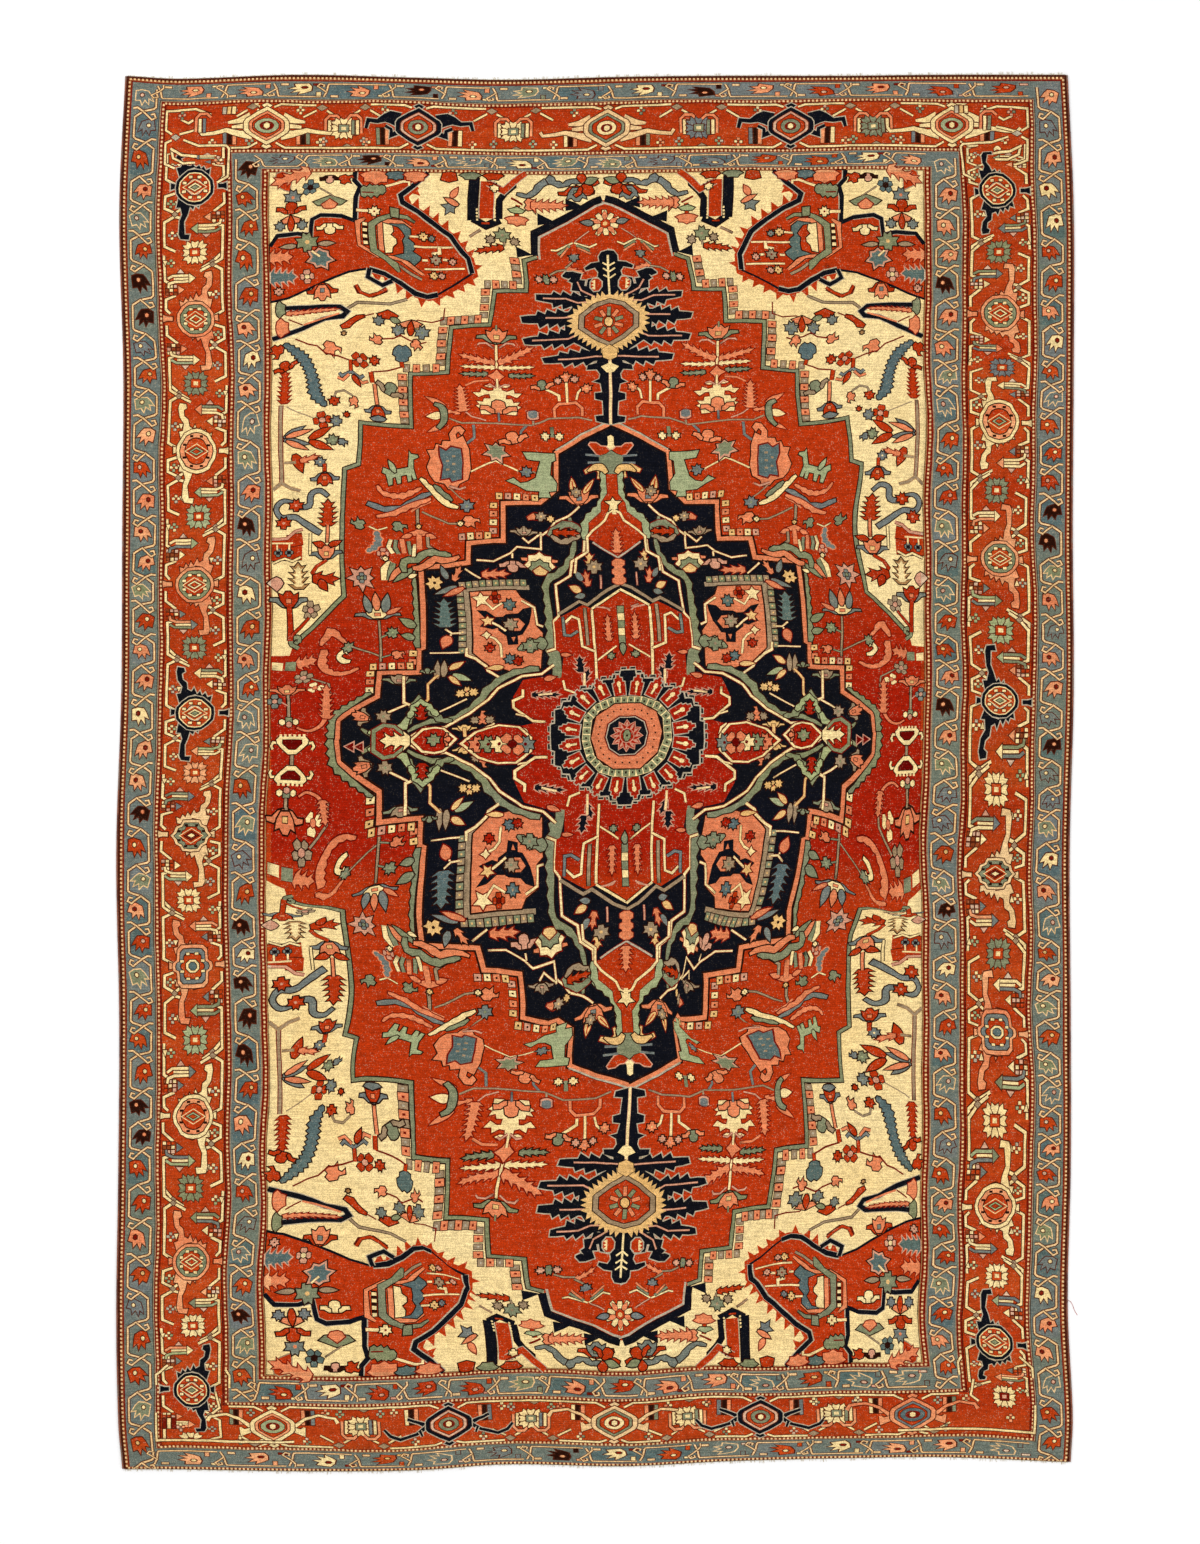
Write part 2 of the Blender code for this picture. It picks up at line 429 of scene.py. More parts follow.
def dotted(line, pitch, size, wools, edge=None, eye=None, start=0.5):
    """Small squares at an even pitch along a line, each turned with it, in turn of colour."""
    line = np.asarray(line, float)
    length = run_of(line)[-1]
    count = max(int(length / pitch), 1)
    spots, ahead = walk(line, (np.arange(count) + start) * length / count)
    heading = np.degrees(np.arctan2(*ahead.T[::-1]))
    rings = []
    for k in range(count):
        square = patch(box(*size), wools[k % len(wools)], edge, 0.7)
        if eye:
            square += patch(box(size[0] * 0.3, size[1] * 0.3), eye)
        rings += put(square, *spots[k], heading[k])
    return rings


def teeth(line, pitch, depth, wool, lean=0.0):
    """Pointed teeth on the left side of a line."""
    line = np.asarray(line, float)
    length = run_of(line)[-1]
    count = max(int(length / pitch), 1)
    foot, ahead = walk(line, np.arange(2 * count + 1) * length / (2 * count))
    ahead /= np.linalg.norm(ahead, axis=1, keepdims=True)
    left = np.stack((-ahead[:, 1], ahead[:, 0]), axis=1)
    tip = foot + left * depth + ahead * lean
    edge_line = np.where((np.arange(len(foot)) % 2 == 1)[:, None], tip, foot)
    return patch(np.vstack((edge_line, (foot - left)[::-1])), wool)
# The chart of one quarter of the field: across runs from -325 at its long edge to 0 on the
# upright middle line, and up from 0 on the level middle line to 600 at its short edge.
FIELD_ACROSS, FIELD_UP = 325, 600
FIELD_STEPS = places("""
    0 572 -10 569 -38 553 -66 538 -69 514 -82 509 -84 477 -114 475 -117 440 -155 439 -157 391 -192 390
    -194 333 -244 335 -247 290 -259 285 -261 153 -300 121 -308 112""")
MEDALLION_STEPS = places("""
    0 333 -30 321 -57 306 -58 266 -74 251 -109 248 -110 208 -142 207 -144 187 -189 184 -190 100 -194 98
    -194 73 -230 72 -231 46 -258 27 -266 20 -268 0""")
LEAF_PALMETTE = places("""
    -325 523 -317 534 -297 535 -284 532 -282 549 -274 553 -253 551 -240 546 -241 573 -238 584 -244 591
    -244 600 -171 600 -184 588 -199 576 -197 569 -181 560 -165 547 -150 534 -141 517 -136 510 -135 494
    -150 486 -170 475 -180 473 -191 476 -204 486 -218 494 -232 497 -252 492 -276 482 -310 468 -325 464""")


def corner_ground():
    """The cream corner of the field, its stepped edge and the row of squares beside it."""
    ring = np.vstack((FIELD_STEPS, places("-310 103 -325 101 -325 600 0 600")))
    rings = [(ring, "cream")]
    arch, flight = FIELD_STEPS[:5], FIELD_STEPS[4:]
    rings.append((ribbon(arch + (-1.5, 1.5), 8.0), "brown"))
    rings.append((ribbon(arch + (-1.5, 1.5), 6.4), "navy"))
    rings.append((ribbon(arch + (2.2, -2.6), 2.2), "grey"))
    rings += stem(flight, "green", 3.2, "brown", 1.1)
    for x, y, size in ((-55, 552, 9), (-28, 567, 9), (-80, 516, 8)):
        rings.append((np.array(((x - size, y - 4), (x + size, y), (x - size, y + size))), "navy"))
    for line in (
        ((-91, 512), (-92, 483)), ((-92, 482), (-125, 482)), ((-123, 478), (-124, 446)),
        ((-126, 446), (-166, 446)), ((-163, 440), (-164, 398)), ((-163, 396), (-201, 396)),
        ((-200, 390), (-200, 336)),
    ):
        rings += dotted(line, 13.0, (6.2, 8.2), ("salmon",), "brown", "deep", 0.25)
        rings += dotted(line, 13.0, (5.4, 7.4), ("greige",), "brown", "grey", 0.75)
    return rings + put(curl(9, "green", 3.0), -303, 110, 60, True)


def leaf_palmette():
    """The big red half palmette of the corner, with its toothed edge and its banded shield."""
    rim = LEAF_PALMETTE
    right = rim[13:29]
    rings = [(ribbon(right - (-2, 1), 8.0), "red")]
    rings += teeth(right, 11.5, 13.0, "red", -3.0)
    rings += patch(rim, "red", "brown", 1.2)
    rings.append((ribbon(rim[1:7], 5.4), "grey"))
    rings.append((ribbon(rim[0:8], 4.2), "navy"))
    rings.append((ribbon(rim[7:12], 5.6), "grey"))
    rings.append((ribbon(rim[7:12] - (0.6, 0), 4.6), "navy"))
    rings.append((ribbon(rim[12:22], 6.6), "grey"))
    rings.append((ribbon(rim[12:22] + (0.4, 0.4), 4.8), "navy"))
    rings.append((ribbon(rim[21:24], 2.0), "navy"))
    rings.append((ribbon(rim[23:29], 6.6), "grey"))
    rings.append((ribbon(rim[23:29] - (0, 0.4), 5.0), "navy"))
    rings.append((ribbon(rim[28:], 2.4), "navy"))
    return rings


def medallion_ground():
    """The dark medallion, the salmon band along its stepped edge and the squares outside it."""
    steps = MEDALLION_STEPS
    rings = [(np.vstack((steps, ((0, 0),))), "navy")]
    rings.append((ribbon(steps, 8.0), "brown"))
    rings.append((ribbon(steps, 4.4), "salmon"))
    rings.append((ribbon(steps[:3] + (-0.5, 2.6), 1.8), "grey"))
    for line in (
        ((-74, 256), (-117, 256)), ((-118, 250), (-119, 214)), ((-120, 214), (-152, 214)),
        ((-199, 98), (-200, 80)), ((-198, 80), (-240, 79)), ((-238, 76), (-238, 48)),
    ):
        rings += dotted(line, 7.4, (5.6, 6.6), ("gold", "salmon", "cream", "pink"), "brown", "brown")
    rings += blade(places("-196 182 -196 150 -196 120 -196 100"), (3, 4, 5, 6), "green",
                   "brown", 8, -1, 0.3)
    rings += blade(places("-237 50 -262 31 -271 22 -273 10 -274 0"), (3, 5, 6, 7, 7),
                   "green", "brown", 8, -1, 0.2)
    return rings + put(leaf(16, 8, "green"), -197, 122, 60) + put(leaf(12, 7, "green"), -198, 110, 75)


# The quarter's chart. Each row is one thing: a motif with its place (knots out from the middle
# line, knots up), its turn and what its shape takes, or a line, blade, shape, whole shape given
# by half or row of squares with its wools and then its places. A dash stands for none, both
# for a thing and its mirror image, and a row that starts with a space goes on from the one
# above.
QUARTER_CHART = """
# inside the leaf palmette
line navy 4 grey .9 232 497 235 488 222 481 212 487
line deep 2.4 brown .5 248 478 245 471 232 468 218 476
line greige 2.4 brown .7 184 491 193 496 203 504
line salmon 2.4/4/4/2.6/2.4/3/4.6/2 brown .9 182 496 193 505 200 511 210 512 222 511 238 521 238 545
 231 550
line brown 5 - 0 231.5 546 231.5 521
squares cream 5.8 3.2 3.8 - - .5 231.5 547 231.5 521
line green 2/7/5/6/6/5/4/3/1.6 brown .9 204 497 207 504 214 510 225 517 225 544 218 550 206 555 192
 554 184 549
shape green brown 1.15 207 554 208 563 200 562 200 553
line salmon 5/5/3.6/3/2 brown .9 217 518 217 543 209 549 197 549 188 543
shape cream brown 1.15 214 546 206 545 205 539 208 535 203 531 203 527 207 523 208 517 214 516
shape blue brown 1.15 209 546 195 547 189 542 189 537 192 533 187 528 186 524 189 520 182 514 183
 511 189 506 193 510 206 514 197 517 196 524 197 530 194 535 197 540 200 544
line cream 1.8 deep .7 190 535 180 535
line cream 1.8 deep .7 187 525 149 523
line cream 3 deep .7 163 524 163 518 171 517
line cream 2.2 deep .7 181 511 176 511
line cream 2.2 deep .7 161 511 156 510
line cream 1.8 deep .7 180 502 141 500
line cream 2.8 deep .7 240 558 226 558
line cream 2.4 deep .7 219 583 197 591 190 591 190 587
blade green brown 4 0 .66 12/15/15/7 237 578 226 580 214 582
line deep 1.4 - 0 236 578 225 578
posy 168 511 0 5 greige deep
posy 177 535 0 4 gold deep
posy 169 533 0 3 slate deep
posy 152 508 0 3.4 pink deep
posy 172 495 0 4 gold deep
posy 165 494 0 3 pink deep
posy 223 558 0 5 cream deep
# the medallion's panel, its vines and its red middle
line greige 4.6 - 0 149 160 88 160
line greige 4.6 - 0 150 160 150 92 128 74
squares greige/green 6.4 5.4 6 brown gold .5 156 165 90 165
squares greige/green 6.4 5.4 6 brown gold .5 156 160 156 92
shape salmon brown 1.4 146 157 101 157 97 149 85 141 85 119 79 112 82 75 110 71 130 77 146 92
shape navy brown .6 123 125 113 131 101 132 96 137 88 139 89 133 92 122 99 110 104 109 104 100 113
 99 114 109 122 115
shape salmon brown .6 117 121 111 127 101 127 96 121 101 114 112 114
shape salmon brown .6 110 107 108 102 106 107
shape navy brown .6 141 138 133 136 124 129 116 129 120 119 128 117 139 121 132 127
blade green brown 4 0 .6 8/13/14/3 66 103 80 101 92 99 104 94
line cream 2 deep .7 97 146 85 139 84 121 78 119
blade green brown 14 -1 .4 4/5/6/8/6/8/10/15/7 46 236 43 215 44 200 55 180 71 168 72 140 72 112 70
 86 64 62
blade green brown 9 1 .45 3/5/5/7/8/8/6/6 206 10 186 20 165 22 142 37 133 51 118 65 100 72 84 75
line cream 2.2 deep .9 9 242 16 231 32 218 33 199 45 190 47 175 62 165 62 131 67 125 67 96 76 93
line cream 2.2 deep .9 205 3 190 13 172 13 148 27 131 41 122 53 100 66 81 69 69 79
blade green brown 13 0 .5 3/5/6/7/11/11/9/4 246 12 236 5 222 10 206 18 196 42 186 34 176 22 165 20
shape red - 0 0 157 28 139 37 143 60 130 67 124 67 95 60 90 62 66 80 66 99 62 108 44 108 32 96 24 80
 19 104 13 150 0 0 0
# the lantern and the tree palmette above the medallion
shape salmon brown 1.15 178 281 181 290 177 299 180 307 173 307 171 313 166 311 165 316 157 315 158
 323 153 330 147 331 143 326 146 321 149 325 152 322 151 317 145 320 142 312 140 306 139 285 142 274
 150 270 153 264 160 265 164 271 173 274
shape blue deep 1.6 168 309 162 305 157 309 148 306 147 292 148 275 157 273 159 277 167 276 165 290
 168 300
squares greige 7 2.2 3.2 - - .5 155 303 155 279
squares greige 7 2.2 3 - - .5 161 299 161 281
whole cream deep 1.1 110 0 380 1.5 379 2 375 9 377 12 375 8 373.5 3.5 374 4 370 9 369 15 372 16 368
 23 368 18 363 12 366 8 366 7 361 13 361 14 357 20 358 17 354 21 353 17 350 16 344 7 344 4 348 0 348
# the cream corner, from the short edge down
leaf 316 600 -152 22 14 red greige
leaf 288 602 112 38 15 salmon deep 4
rosette 286 584 0 8 5 blue brown
posy 302 574 0 7.5 slate salmon
trefoil 303 557 0 11 red red
fan 303 546 0 20 9 3 salmon brown
posy 314 544 0 4.6 slate slate
posy 292 544 0 4.6 slate slate
leaf 303 539 0 16 6 red brown
fan 266 563 0 32 11 3 green brown
fan 266 560 0 15 10 3 salmon deep
line greige 1.2 brown .4 277 583 262 573
trefoil 268 596 180 7 pink brown
bud 258 590 -60 8 red
fan 224 601 180 30 14 5 salmon deep
fan 204 601 180 20 9 5 blue brown
fan 184 601 180 24 11 5 salmon deep
posy 288 525 0 10 green gold
leaf 299 522 90 16 5 greige brown
leaf 277 522 -90 16 5 greige brown
star 277 507 0 14 7 pink brown .62
star 277 507 0 11 7 blue - .62
line cream 2 deep .4 284 515 277 509
trefoil 265 543 180 10 cream cream
leaf 325 511 -90 22 18 salmon deep 3
leaf 325 490 -90 24 20 blue pink 4
rosette 291 489 0 7 4 pink cream brown
posy 318 475 0 4 pink brown
cup 278 480 180 24 17 salmon red slate
line red 2.6 brown .7 247 479 243 471 235 468 226 472 218 478
line greige 2 brown .7 256 452 246 460 215 462 199 469
line navy 4.8 grey .8 314 457 290 456 262 455 255 450 259 445 276 443 297 434 325 424
leaf 312 451 -88 50 5 salmon deep 8
line deep 1.4 - 0 310 445 297 438
line salmon 1.8 - 0 296 438 262 448
fan 321 456 -90 18 9 4 green brown
fan 321 436 -90 20 12 4 salmon deep
fan 217 446 0 20 9 3 red brown
posy 225 443 0 4.6 slate slate
leaf 214 447 -112 11 5 green brown
blade red brown 2 -1 5/7/5/3 259 433 251 438 245 444 239 446
line deep 1.4 - 0 240 446 230 450
line deep 1.4 - 0 197 440 188 447 174 445 163 448 163 460
fan 194 439 0 22 8 3 salmon brown
leaf 194 431 0 15 6 red brown
posy 206 435 0 5.5 slate green
posy 183 434 0 6.5 slate green
line deep 1.6 - 0 226 423 210 426 204 430 196 426 186 422 178 424
bud 221 423 95 7 salmon
bud 192 424 -120 7 salmon
star 201 411 0 12 9 blue brown .74
line red 3.4 brown .6 201 402 200 396
bud 277 412 -92 11 salmon
line deep 1.6 - 0 304 423 292 417 283 414 275 406 262 403 251 399
line red 3.2 brown .7 250 400 250 388
line slate 2.4 brown .8 250 388 241 382 237 385
line slate 2.4 brown .8 250 388 259 383 262 386
line salmon 2.4 brown .7 252 385 258 379 264 381
line salmon 2.4 brown .7 248 385 239 377 233 379
leaf 248 384 -148 13 5 red brown
rosette 241 400 45 8.5 4 red pink brown
posy 227 401 0 4.4 red deep
line deep 1.6 - 0 200 397 214 392 230 389
line red 3.8 brown .8 230 389 229 378
line salmon 2.8 brown 1.1 227 377 226 354
trefoil 215 368 -30 11 green greige
cup 226 354 180 22 13 red slate salmon
fan 226 338 0 16 6 3 slate brown
posy 257 427 0 1.8 tan tan
blade blue brown 15 0 5/9/12/11/11/13/11/4 314 418 302 408 292 394 287 376 285 364 276 352
leaf 313 356 0 34 12 red deep 7
trefoil 311 390 25 9 red red
bud 320 417 180 9 red
line greige 2.8 deep .9 316 354 317 272
line greige 1.2 - 0 311 352 300 346 286 339
rosette 279 337 10 8.5 4 red pink brown
posy 267 336 90 5 slate green
posy 257 343 0 2.4 red deep
posy 268 357 10 4.6 red deep
line greige 1.6 brown .4 268 361 266 366 258 368 250 363
bud 251 361 -150 6.5 salmon
leaf 313 320 -58 22 6 slate brown
leaf 311 321 -74 24 5 salmon brown
leaf 313 318 -104 24 6 slate brown
leaf 311 317 -118 22 5 salmon brown
leaf 290 318 -58 22 7 red brown
leaf 290 315 -116 22 7 red brown
posy 270 316 10 5 green sage
bud 265 314 -90 5 slate
leaf 304 302 -160 20 9 red brown
leaf 299 295 -76 18 7 salmon deep 2
posy 281 293 0 4.4 slate cream
line red 3.2 brown .7 277 291 277 281
cup 277 281 180 22 13 red slate salmon
line greige 2 tan .6 314 294 303 294
line greige 2.8 tan .6 317 273 325 266
line greige 2.8 tan .6 317 273 309 267 300 264
blade slate brown 0 0 3/4/5/5/3 274 257 281 263 290 260 292 248 306 247
blade slate brown 0 0 3/4/4/5/4/5/5 306 252 316 254 322 246 317 237 305 237 293 228 281 219
posy 304 249 0 6 red pink
posy 315 231 0 6 red pink
leaf 274 226 0 27 18 red brown 5
line salmon 2.2 brown 1 274 227 274 208
leaf 276 205 70 12 6 red brown
leaf 272 205 -70 12 6 red brown
cup 275 191 0 25 14 salmon slate gold
line red 3 brown .6 275 190 284 184 288 178 282 168
leaf 288 172 -95 24 14 red brown 2
leaf 282 170 -150 12 7 red brown
line red 22 brown .8 325 203 297 203
line red 12 brown .8 311 212 297 214
line pink 2.4 deep .7 325 214 311 215 304 222 297 224
line cream 1.6 - 0 325 210 306 210
rosette 319 200 0 4 4 slate navy
rosette 309 200 0 4 4 slate navy
line cream 1.6 deep .4 320 209 320 203
line cream 1.6 deep .4 309 209 309 203
line cream 1.8 brown .8 290 220 290 197
line cream 1.8 brown .8 324 189 313 194 306 191 298 195
leaf 301 163 0 26 18 tan brown 4
leaf 301 165 0 21 12 cream - 4
star 321 169 0 8 4 pink brown .7
cup 311 146 0 28 15 red slate salmon
line red 4 brown .9 311 147 310 117
rosette 292 143 0 8 5 greige pink
line red 2.2 brown .7 309 122 294 137
leaf 303 93 -75 17 17 salmon deep 3
rosette 297 76 0 8.5 5 greige pink
rosette 286 60 20 7.5 3 cream salmon deep
line green 10 deep .6 313 91 304 91
line cream 9 deep .6 324 90 315 90
cup 310 52 0 26 14 salmon salmon gold
line greige 2.2 brown .9 309 52 309 40
line greige 1.6 brown .6 290 74 274 63 273 50
blade salmon deep 7 -1 3/5/6/9/7 249 79 259 75 271 77 281 89 280 106
blade salmon deep 4 1 3/8/7/4/3 284 111 280 118 274 123 268 117 261 108
blade cream brown 0 0 3/5/4/4/3 257 88 263 90 267 96 262 101 259 98
posy 259 104 20 5 green greige
line greige 1.4 brown .6 229 90 256 104
cup 231 129 0 36 11 cream slate salmon
leaf 238 136 14 17 7 slate brown
leaf 224 136 -12 19 8 slate brown
leaf 231 138 2 17 7 salmon brown
leaf 222 134 -62 15 4 salmon deep
line greige 2 brown .9 230 127 229 84
line green 1.4 brown .5 229 110 221 114
posy 218 115 25 5.4 green sage
line green 1.2 brown .5 229 89 219 92
bud 218 90 -60 7 salmon
star 243 170 0 13 8 pink brown .6
rosette 243 170 0 5 4 slate green
bud 239 226 80 8 green
bud 213 226 -80 8 green
line cream 1.4 brown .5 235 225 227 221 218 225
blade slate salmon 5 0 5/8/8/4 228 220 226 209 231 201 237 198
line cream 3.4 brown .8 215 212 217 204 213 197
line green 3.4 brown .8 210 212 211 204 208 197
line salmon 4 deep .8 205 213 203 198
line green 3.4 brown .8 199 211 197 197
line cream 3 brown .8 193 208 195 194
line cream 5.4 brown .8 215 188 222 180 222 168
line green 5 brown .8 213 187 216 178 217 168
leaf 204 184 140 22 7 salmon brown
leaf 196 182 130 24 5 green brown
leaf 200 173 -64 8 4 cream brown
rosette 222 196 0 6 4 pink salmon deep
posy 220 191 0 2.4 cream brown
fan 189 217 0 20 7 3 salmon deep
line salmon 5 deep .7 189 219 189 203
leaf 196 218 110 10 5 salmon deep
leaf 182 218 -110 10 5 salmon deep
line greige 2.6 brown .9 190 250 190 226
posy 189 227 0 2.4 gold brown
line salmon 2 deep .6 177 253 190 248 196 243
line greige 1.6 brown .5 186 243 160 229 152 228
posy 149 228 0 2.6 cream brown
bud 146 229 -80 9 salmon
line greige 2.6 brown .8 181 216 181 206 170 199 160 197
blade green brown 5 1 5/7/7/8/6 204 178 204 190 192 192 182 200 160 195
blade salmon brown 4 -1 4/7/7/6/3 196 182 186 184 176 192 164 190 152 194
beast 206 278 15 17 sage
leaf 212 284 30 14 5 sage brown
blade salmon deep 6 0 3/6/7/3 229 269 223 261 206 259 186 268
blade slate brown 4 1 5/6/8/7/3 237 250 223 245 206 246 190 257 177 262
blade salmon deep 5 -1 3/6/6/3 228 236 212 240 198 248 177 256
blade cream brown 5 1 3/6/7/3 187 278 174 264 161 250 151 245
blade green brown 2 0 3/6/3 174 270 166 262 157 253
posy 143 246 0 6 slate green
line greige 1.2 deep .4 158 265 150 256 145 252
# the red field between the corner and the medallion
line pink 2 deep .5 160 268 150 264 144 266
leaf 146 345 78 16 5 salmon deep 2
leaf 160 354 58 22 5 salmon deep
leaf 163 344 92 16 8 cream deep
leaf 160 334 112 20 5 salmon deep
blade green brown 0 0 3/6/6/4 170 357 163 352 162 338 168 330
line cream 1.6 deep .5 139 282 115 294 93 284
star 114 303 0 13 7 pink brown .55
star 114 304 0 10 7 green - .6
posy 86 284 20 5.4 slate green
line greige 1.2 deep .4 80 285 75 282
line slate 2.6 deep .6 134 332 134 318 141 312
line slate 2.2 deep .6 84 334 90 327 91 319
trefoil 96 314 20 11 salmon salmon
line green 3.6 deep .6 60 333 60 322
posy 67 323 0 4 cream gold
posy 53 323 0 4 cream gold
line greige 1.6 deep .5 157 340 145 334 80 334 62 342 32 342 18 337
line pink 1.4 deep .4 143 348 135 341 122 337
line greige 2 deep .5 78 342 78 334
star 78 345 0 9 6 pink deep .6
star 78 346 0 7 6 slate - .65
line salmon 2.6 deep .9 56 343 56 352 51 357 34 357 28 351 28 343
line cream 2.4 deep .7 42 358 42 380
line cream 2.4 deep .7 50 360 50 366 64 374
line cream 2 deep .7 33 360 31 368 25 373
posy 42 385 0 5 salmon pink
posy 50 382 0 3.4 pink salmon
posy 34 382 0 3.4 pink salmon
trefoil 65 373 10 9 green salmon
posy 23 371 0 4.6 salmon gold
line cream 2.4 deep .9 110 421 110 391
cup 110 421 0 34 15 salmon green gold
line green 1.6 deep .5 110 434 110 440
line pink 1.6 deep .6 129 419 127 421 120 421 113 416
line pink 1.6 deep .6 91 419 93 421 100 421 107 416
leaf 112 400 80 36 9 salmon deep 5 4
leaf 108 400 -66 40 10 salmon deep 5 -3
leaf 112 395 88 33 6 cream deep 5 1
leaf 108 395 -88 36 6 cream deep 5 -1
leaf 119 388 92 26 6 green brown 4 2
leaf 98 387 -92 25 6 green brown 4 -2
star 110 386 0 9 4 salmon deep .5
line cream 2 deep .7 110 383 110 374
line pink 1.4 deep .5 120 375 117 377 111 373
line pink 1.4 deep .5 98 376 103 377 109 373
trefoil 110 345 0 13 salmon salmon
line slate 2 deep .6 110 346 110 336
leaf 143 347 4 30 15 salmon deep 7
line salmon 1.8 deep .5 140 376 131 380 118 381
posy 64 490 0 5 green slate
posy 71 490 90 3.4 pink pink
posy 57 490 90 3.4 pink pink
leaf 42 502 -112 19 7 salmon deep 3
line greige 1.8 brown .6 60 495 52 499 42 500
line greige 1.8 brown .6 43 502 32 510
posy 33 513 0 4.6 slate slate
line red 5 deep .6 32 527 32 516
line pink 1.2 brown .5 30 530 16 540
line cream 1.6 brown .6 32 529 49 521 54 522
line green 2.4 brown .6 35 526 48 517
line salmon 1.8 brown .5 37 524 46 514
line cream 1.6 brown .6 31 529 17 522 10 525
line green 2.4 brown .6 29 526 17 518
line salmon 1.8 brown .5 28 523 16 515
# the figures at the short edge
line navy 9 brown 1 126 596 126 550
line navy 6 brown 1 126 552 114 544 100 551
line navy 5 brown 1 101 552 101 572 96 580 88 588 88 594
line red 13 grey .8 113 592 113 552
line red 6 grey .8 113 590 97 582 88 592 76 602
line red 7 deep .5 114 548 114 546
squares cream 3.4 2 1.87 - - .5 122 563 122 549
squares cream 3.4 2 1.87 - - .5 105 563 105 549
fan 150 601 180 18 12 2 red brown
fan 130 601 180 20 8 4 green brown
fan 108 601 180 20 8 4 red brown
posy 106 585 0 4 cream cream
line deep 1.4 - 0 114 592 100 586
line deep 2.2 - 0 90 575 78 569
bud 76 569 -88 10 salmon
leaf 70 569 -90 34 13 salmon deep 5
line red 3.4 brown .8 83 568 84 557
fan 84 556 180 22 10 5 salmon deep
fan 84 560 0 16 6 3 sage brown
posy 99 535 0 7 green greige
posy 111 530 60 4 greige greige
posy 88 529 -60 4 greige greige
line greige 1.6 brown .5 98 528 99 523
leaf 100 522 100 28 8 red brown 4
line greige 2 deep .6 131 533 119 540
leaf 147 574 -30 12 6 salmon deep
star 148 564 0 8 5 slate brown .5
leaf 140 566 60 16 5 salmon brown
blade slate brown 4 1 3/4/6/7/5 84 580 74 578 66 584 60 592 52 594
blade slate brown 4 0 9/7/5/6/3 54 598 47 592 38 590 30 594 22 592
cup 26 588 180 30 15 slate red green
trefoil 18 590 -150 11 red red
leaf 17 592 -75 14 7 green brown
leaf 20 601 180 10 9 red brown
# the medallion's dark ground
cup 35 250 0 34 16 salmon salmon slate
leaf 40 262 8 17 6 gold deep 0 0 red
leaf 30 262 -40 17 5 gold deep 0 0 red
posy 38 263 0 5 greige gold
blade gold deep 0 0 4/6/5/2 28 284 18 288 12 284 14 276
blade sage brown 8 -1 4/6/7/6/7 10 286 9 268 12 250 20 240 34 228
line cream 1.8 deep .6 35 248 46 238 60 231 66 222 74 215
line cream 1.8 deep .6 74 219 74 200
line cream 1.6 deep .6 75 217 86 207 92 212
line cream 1.6 deep .6 75 201 97 202 104 195 120 187 136 189
line cream 1.6 deep .5 102 195 102 190
blade salmon deep 0 0 3/7/4 86 233 78 236 72 233
posy 73 236 0 5 greige gold
posy 64 234 0 3.4 gold gold
cup 90 214 0 22 9 greige greige pink
line greige 2 brown .5 90 218 90 224
blade green deep 3 1 7/8/7/4 66 216 58 226 46 230 34 222
blade greige brown 3 0 4/6/7/3 64 216 54 210 44 214 34 218
leaf 62 220 -90 26 9 red brown 3
trefoil 102 187 180 10 pink pink
cup 76 196 180 30 14 salmon salmon gold
fan 76 178 0 30 20 5 cream deep
fan 76 176 0 22 14 5 green brown
fan 76 174 0 14 9 3 gold deep
leaf 132 174 -90 26 10 salmon deep 3
line cream 1.6 deep .5 148 181 134 170
posy 178 168 30 7 gold brown
leaf 166 172 20 14 6 slate brown
leaf 160 170 -30 16 8 salmon brown 2
leaf 158 164 110 22 5 slate brown
leaf 152 162 112 20 5 salmon deep
leaf 171 122 0 30 20 blue brown 5
line cream 1.6 deep .5 171 120 165 115 157 115
line cream 1.6 deep .5 166 114 168 106
leaf 168 112 160 14 10 salmon deep
leaf 28 187 0 12 9 gold deep 2
posy 24 184 0 7 greige gold
leaf 36 170 30 12 6 slate brown
leaf 30 164 10 16 8 salmon deep 2
leaf 38 158 60 12 7 gold deep
leaf 34 154 100 10 6 slate brown
line pink 1.6 deep .5 18 175 18 160
rosette 170 77 0 5 4 greige gold
leaf 177 66 0 20 6 greige brown
leaf 171 68 0 18 6 greige brown
leaf 166 76 -60 14 6 gold deep
leaf 163 70 -115 18 6 sage brown
leaf 166 68 -135 14 5 gold deep
line gold 2.2 deep .6 176 70 186 60 186 44 189 40
posy 150 51 0 5 gold salmon
posy 156 49 40 4 gold gold
posy 144 50 -40 4 gold gold
line cream 1.4 deep .5 176 30 150 43
line cream 1.4 deep .5 184 94 158 94
line cream 2.4 deep .7 152 98 152 90 144 86 134 77 132 72 122 65
bud 137 15 0 9 salmon
posy 130 20 -40 4 greige greige
posy 144 20 40 4 greige greige
cup 154 8 0 20 7 gold gold gold
line gold 3 deep .6 154 11 154 2
line cream 1.6 deep .5 152 2 142 7 126 16
cup 212 60 0 26 10 greige green pink
line cream 2.4 deep .7 208 69 208 40 200 37
line cream 1.8 deep .6 206 38 222 29
cup 238 22 75 16 16 salmon greige salmon
posy 226 25 0 6 greige green
blade sage brown 2 0 5/6/5/7/6 240 9 232 3 222 10 210 14 204 26
blade sage brown 5 0 5/8/7/6 204 24 198 36 190 40 178 26
leaf 193 22 0 16 12 red brown 3
trefoil 186 72 0 5 green green
star 136 149 0 8 5 cream deep .5
rosette 122 150 0 6 4 red deep
line cream 1.8 deep .5 133 147 126 138 116 144
posy 109 142 0 5.6 blue greige
line cream 2 deep .5 132 127 122 120 115 114
star 132 126 0 6 5 gold deep .5
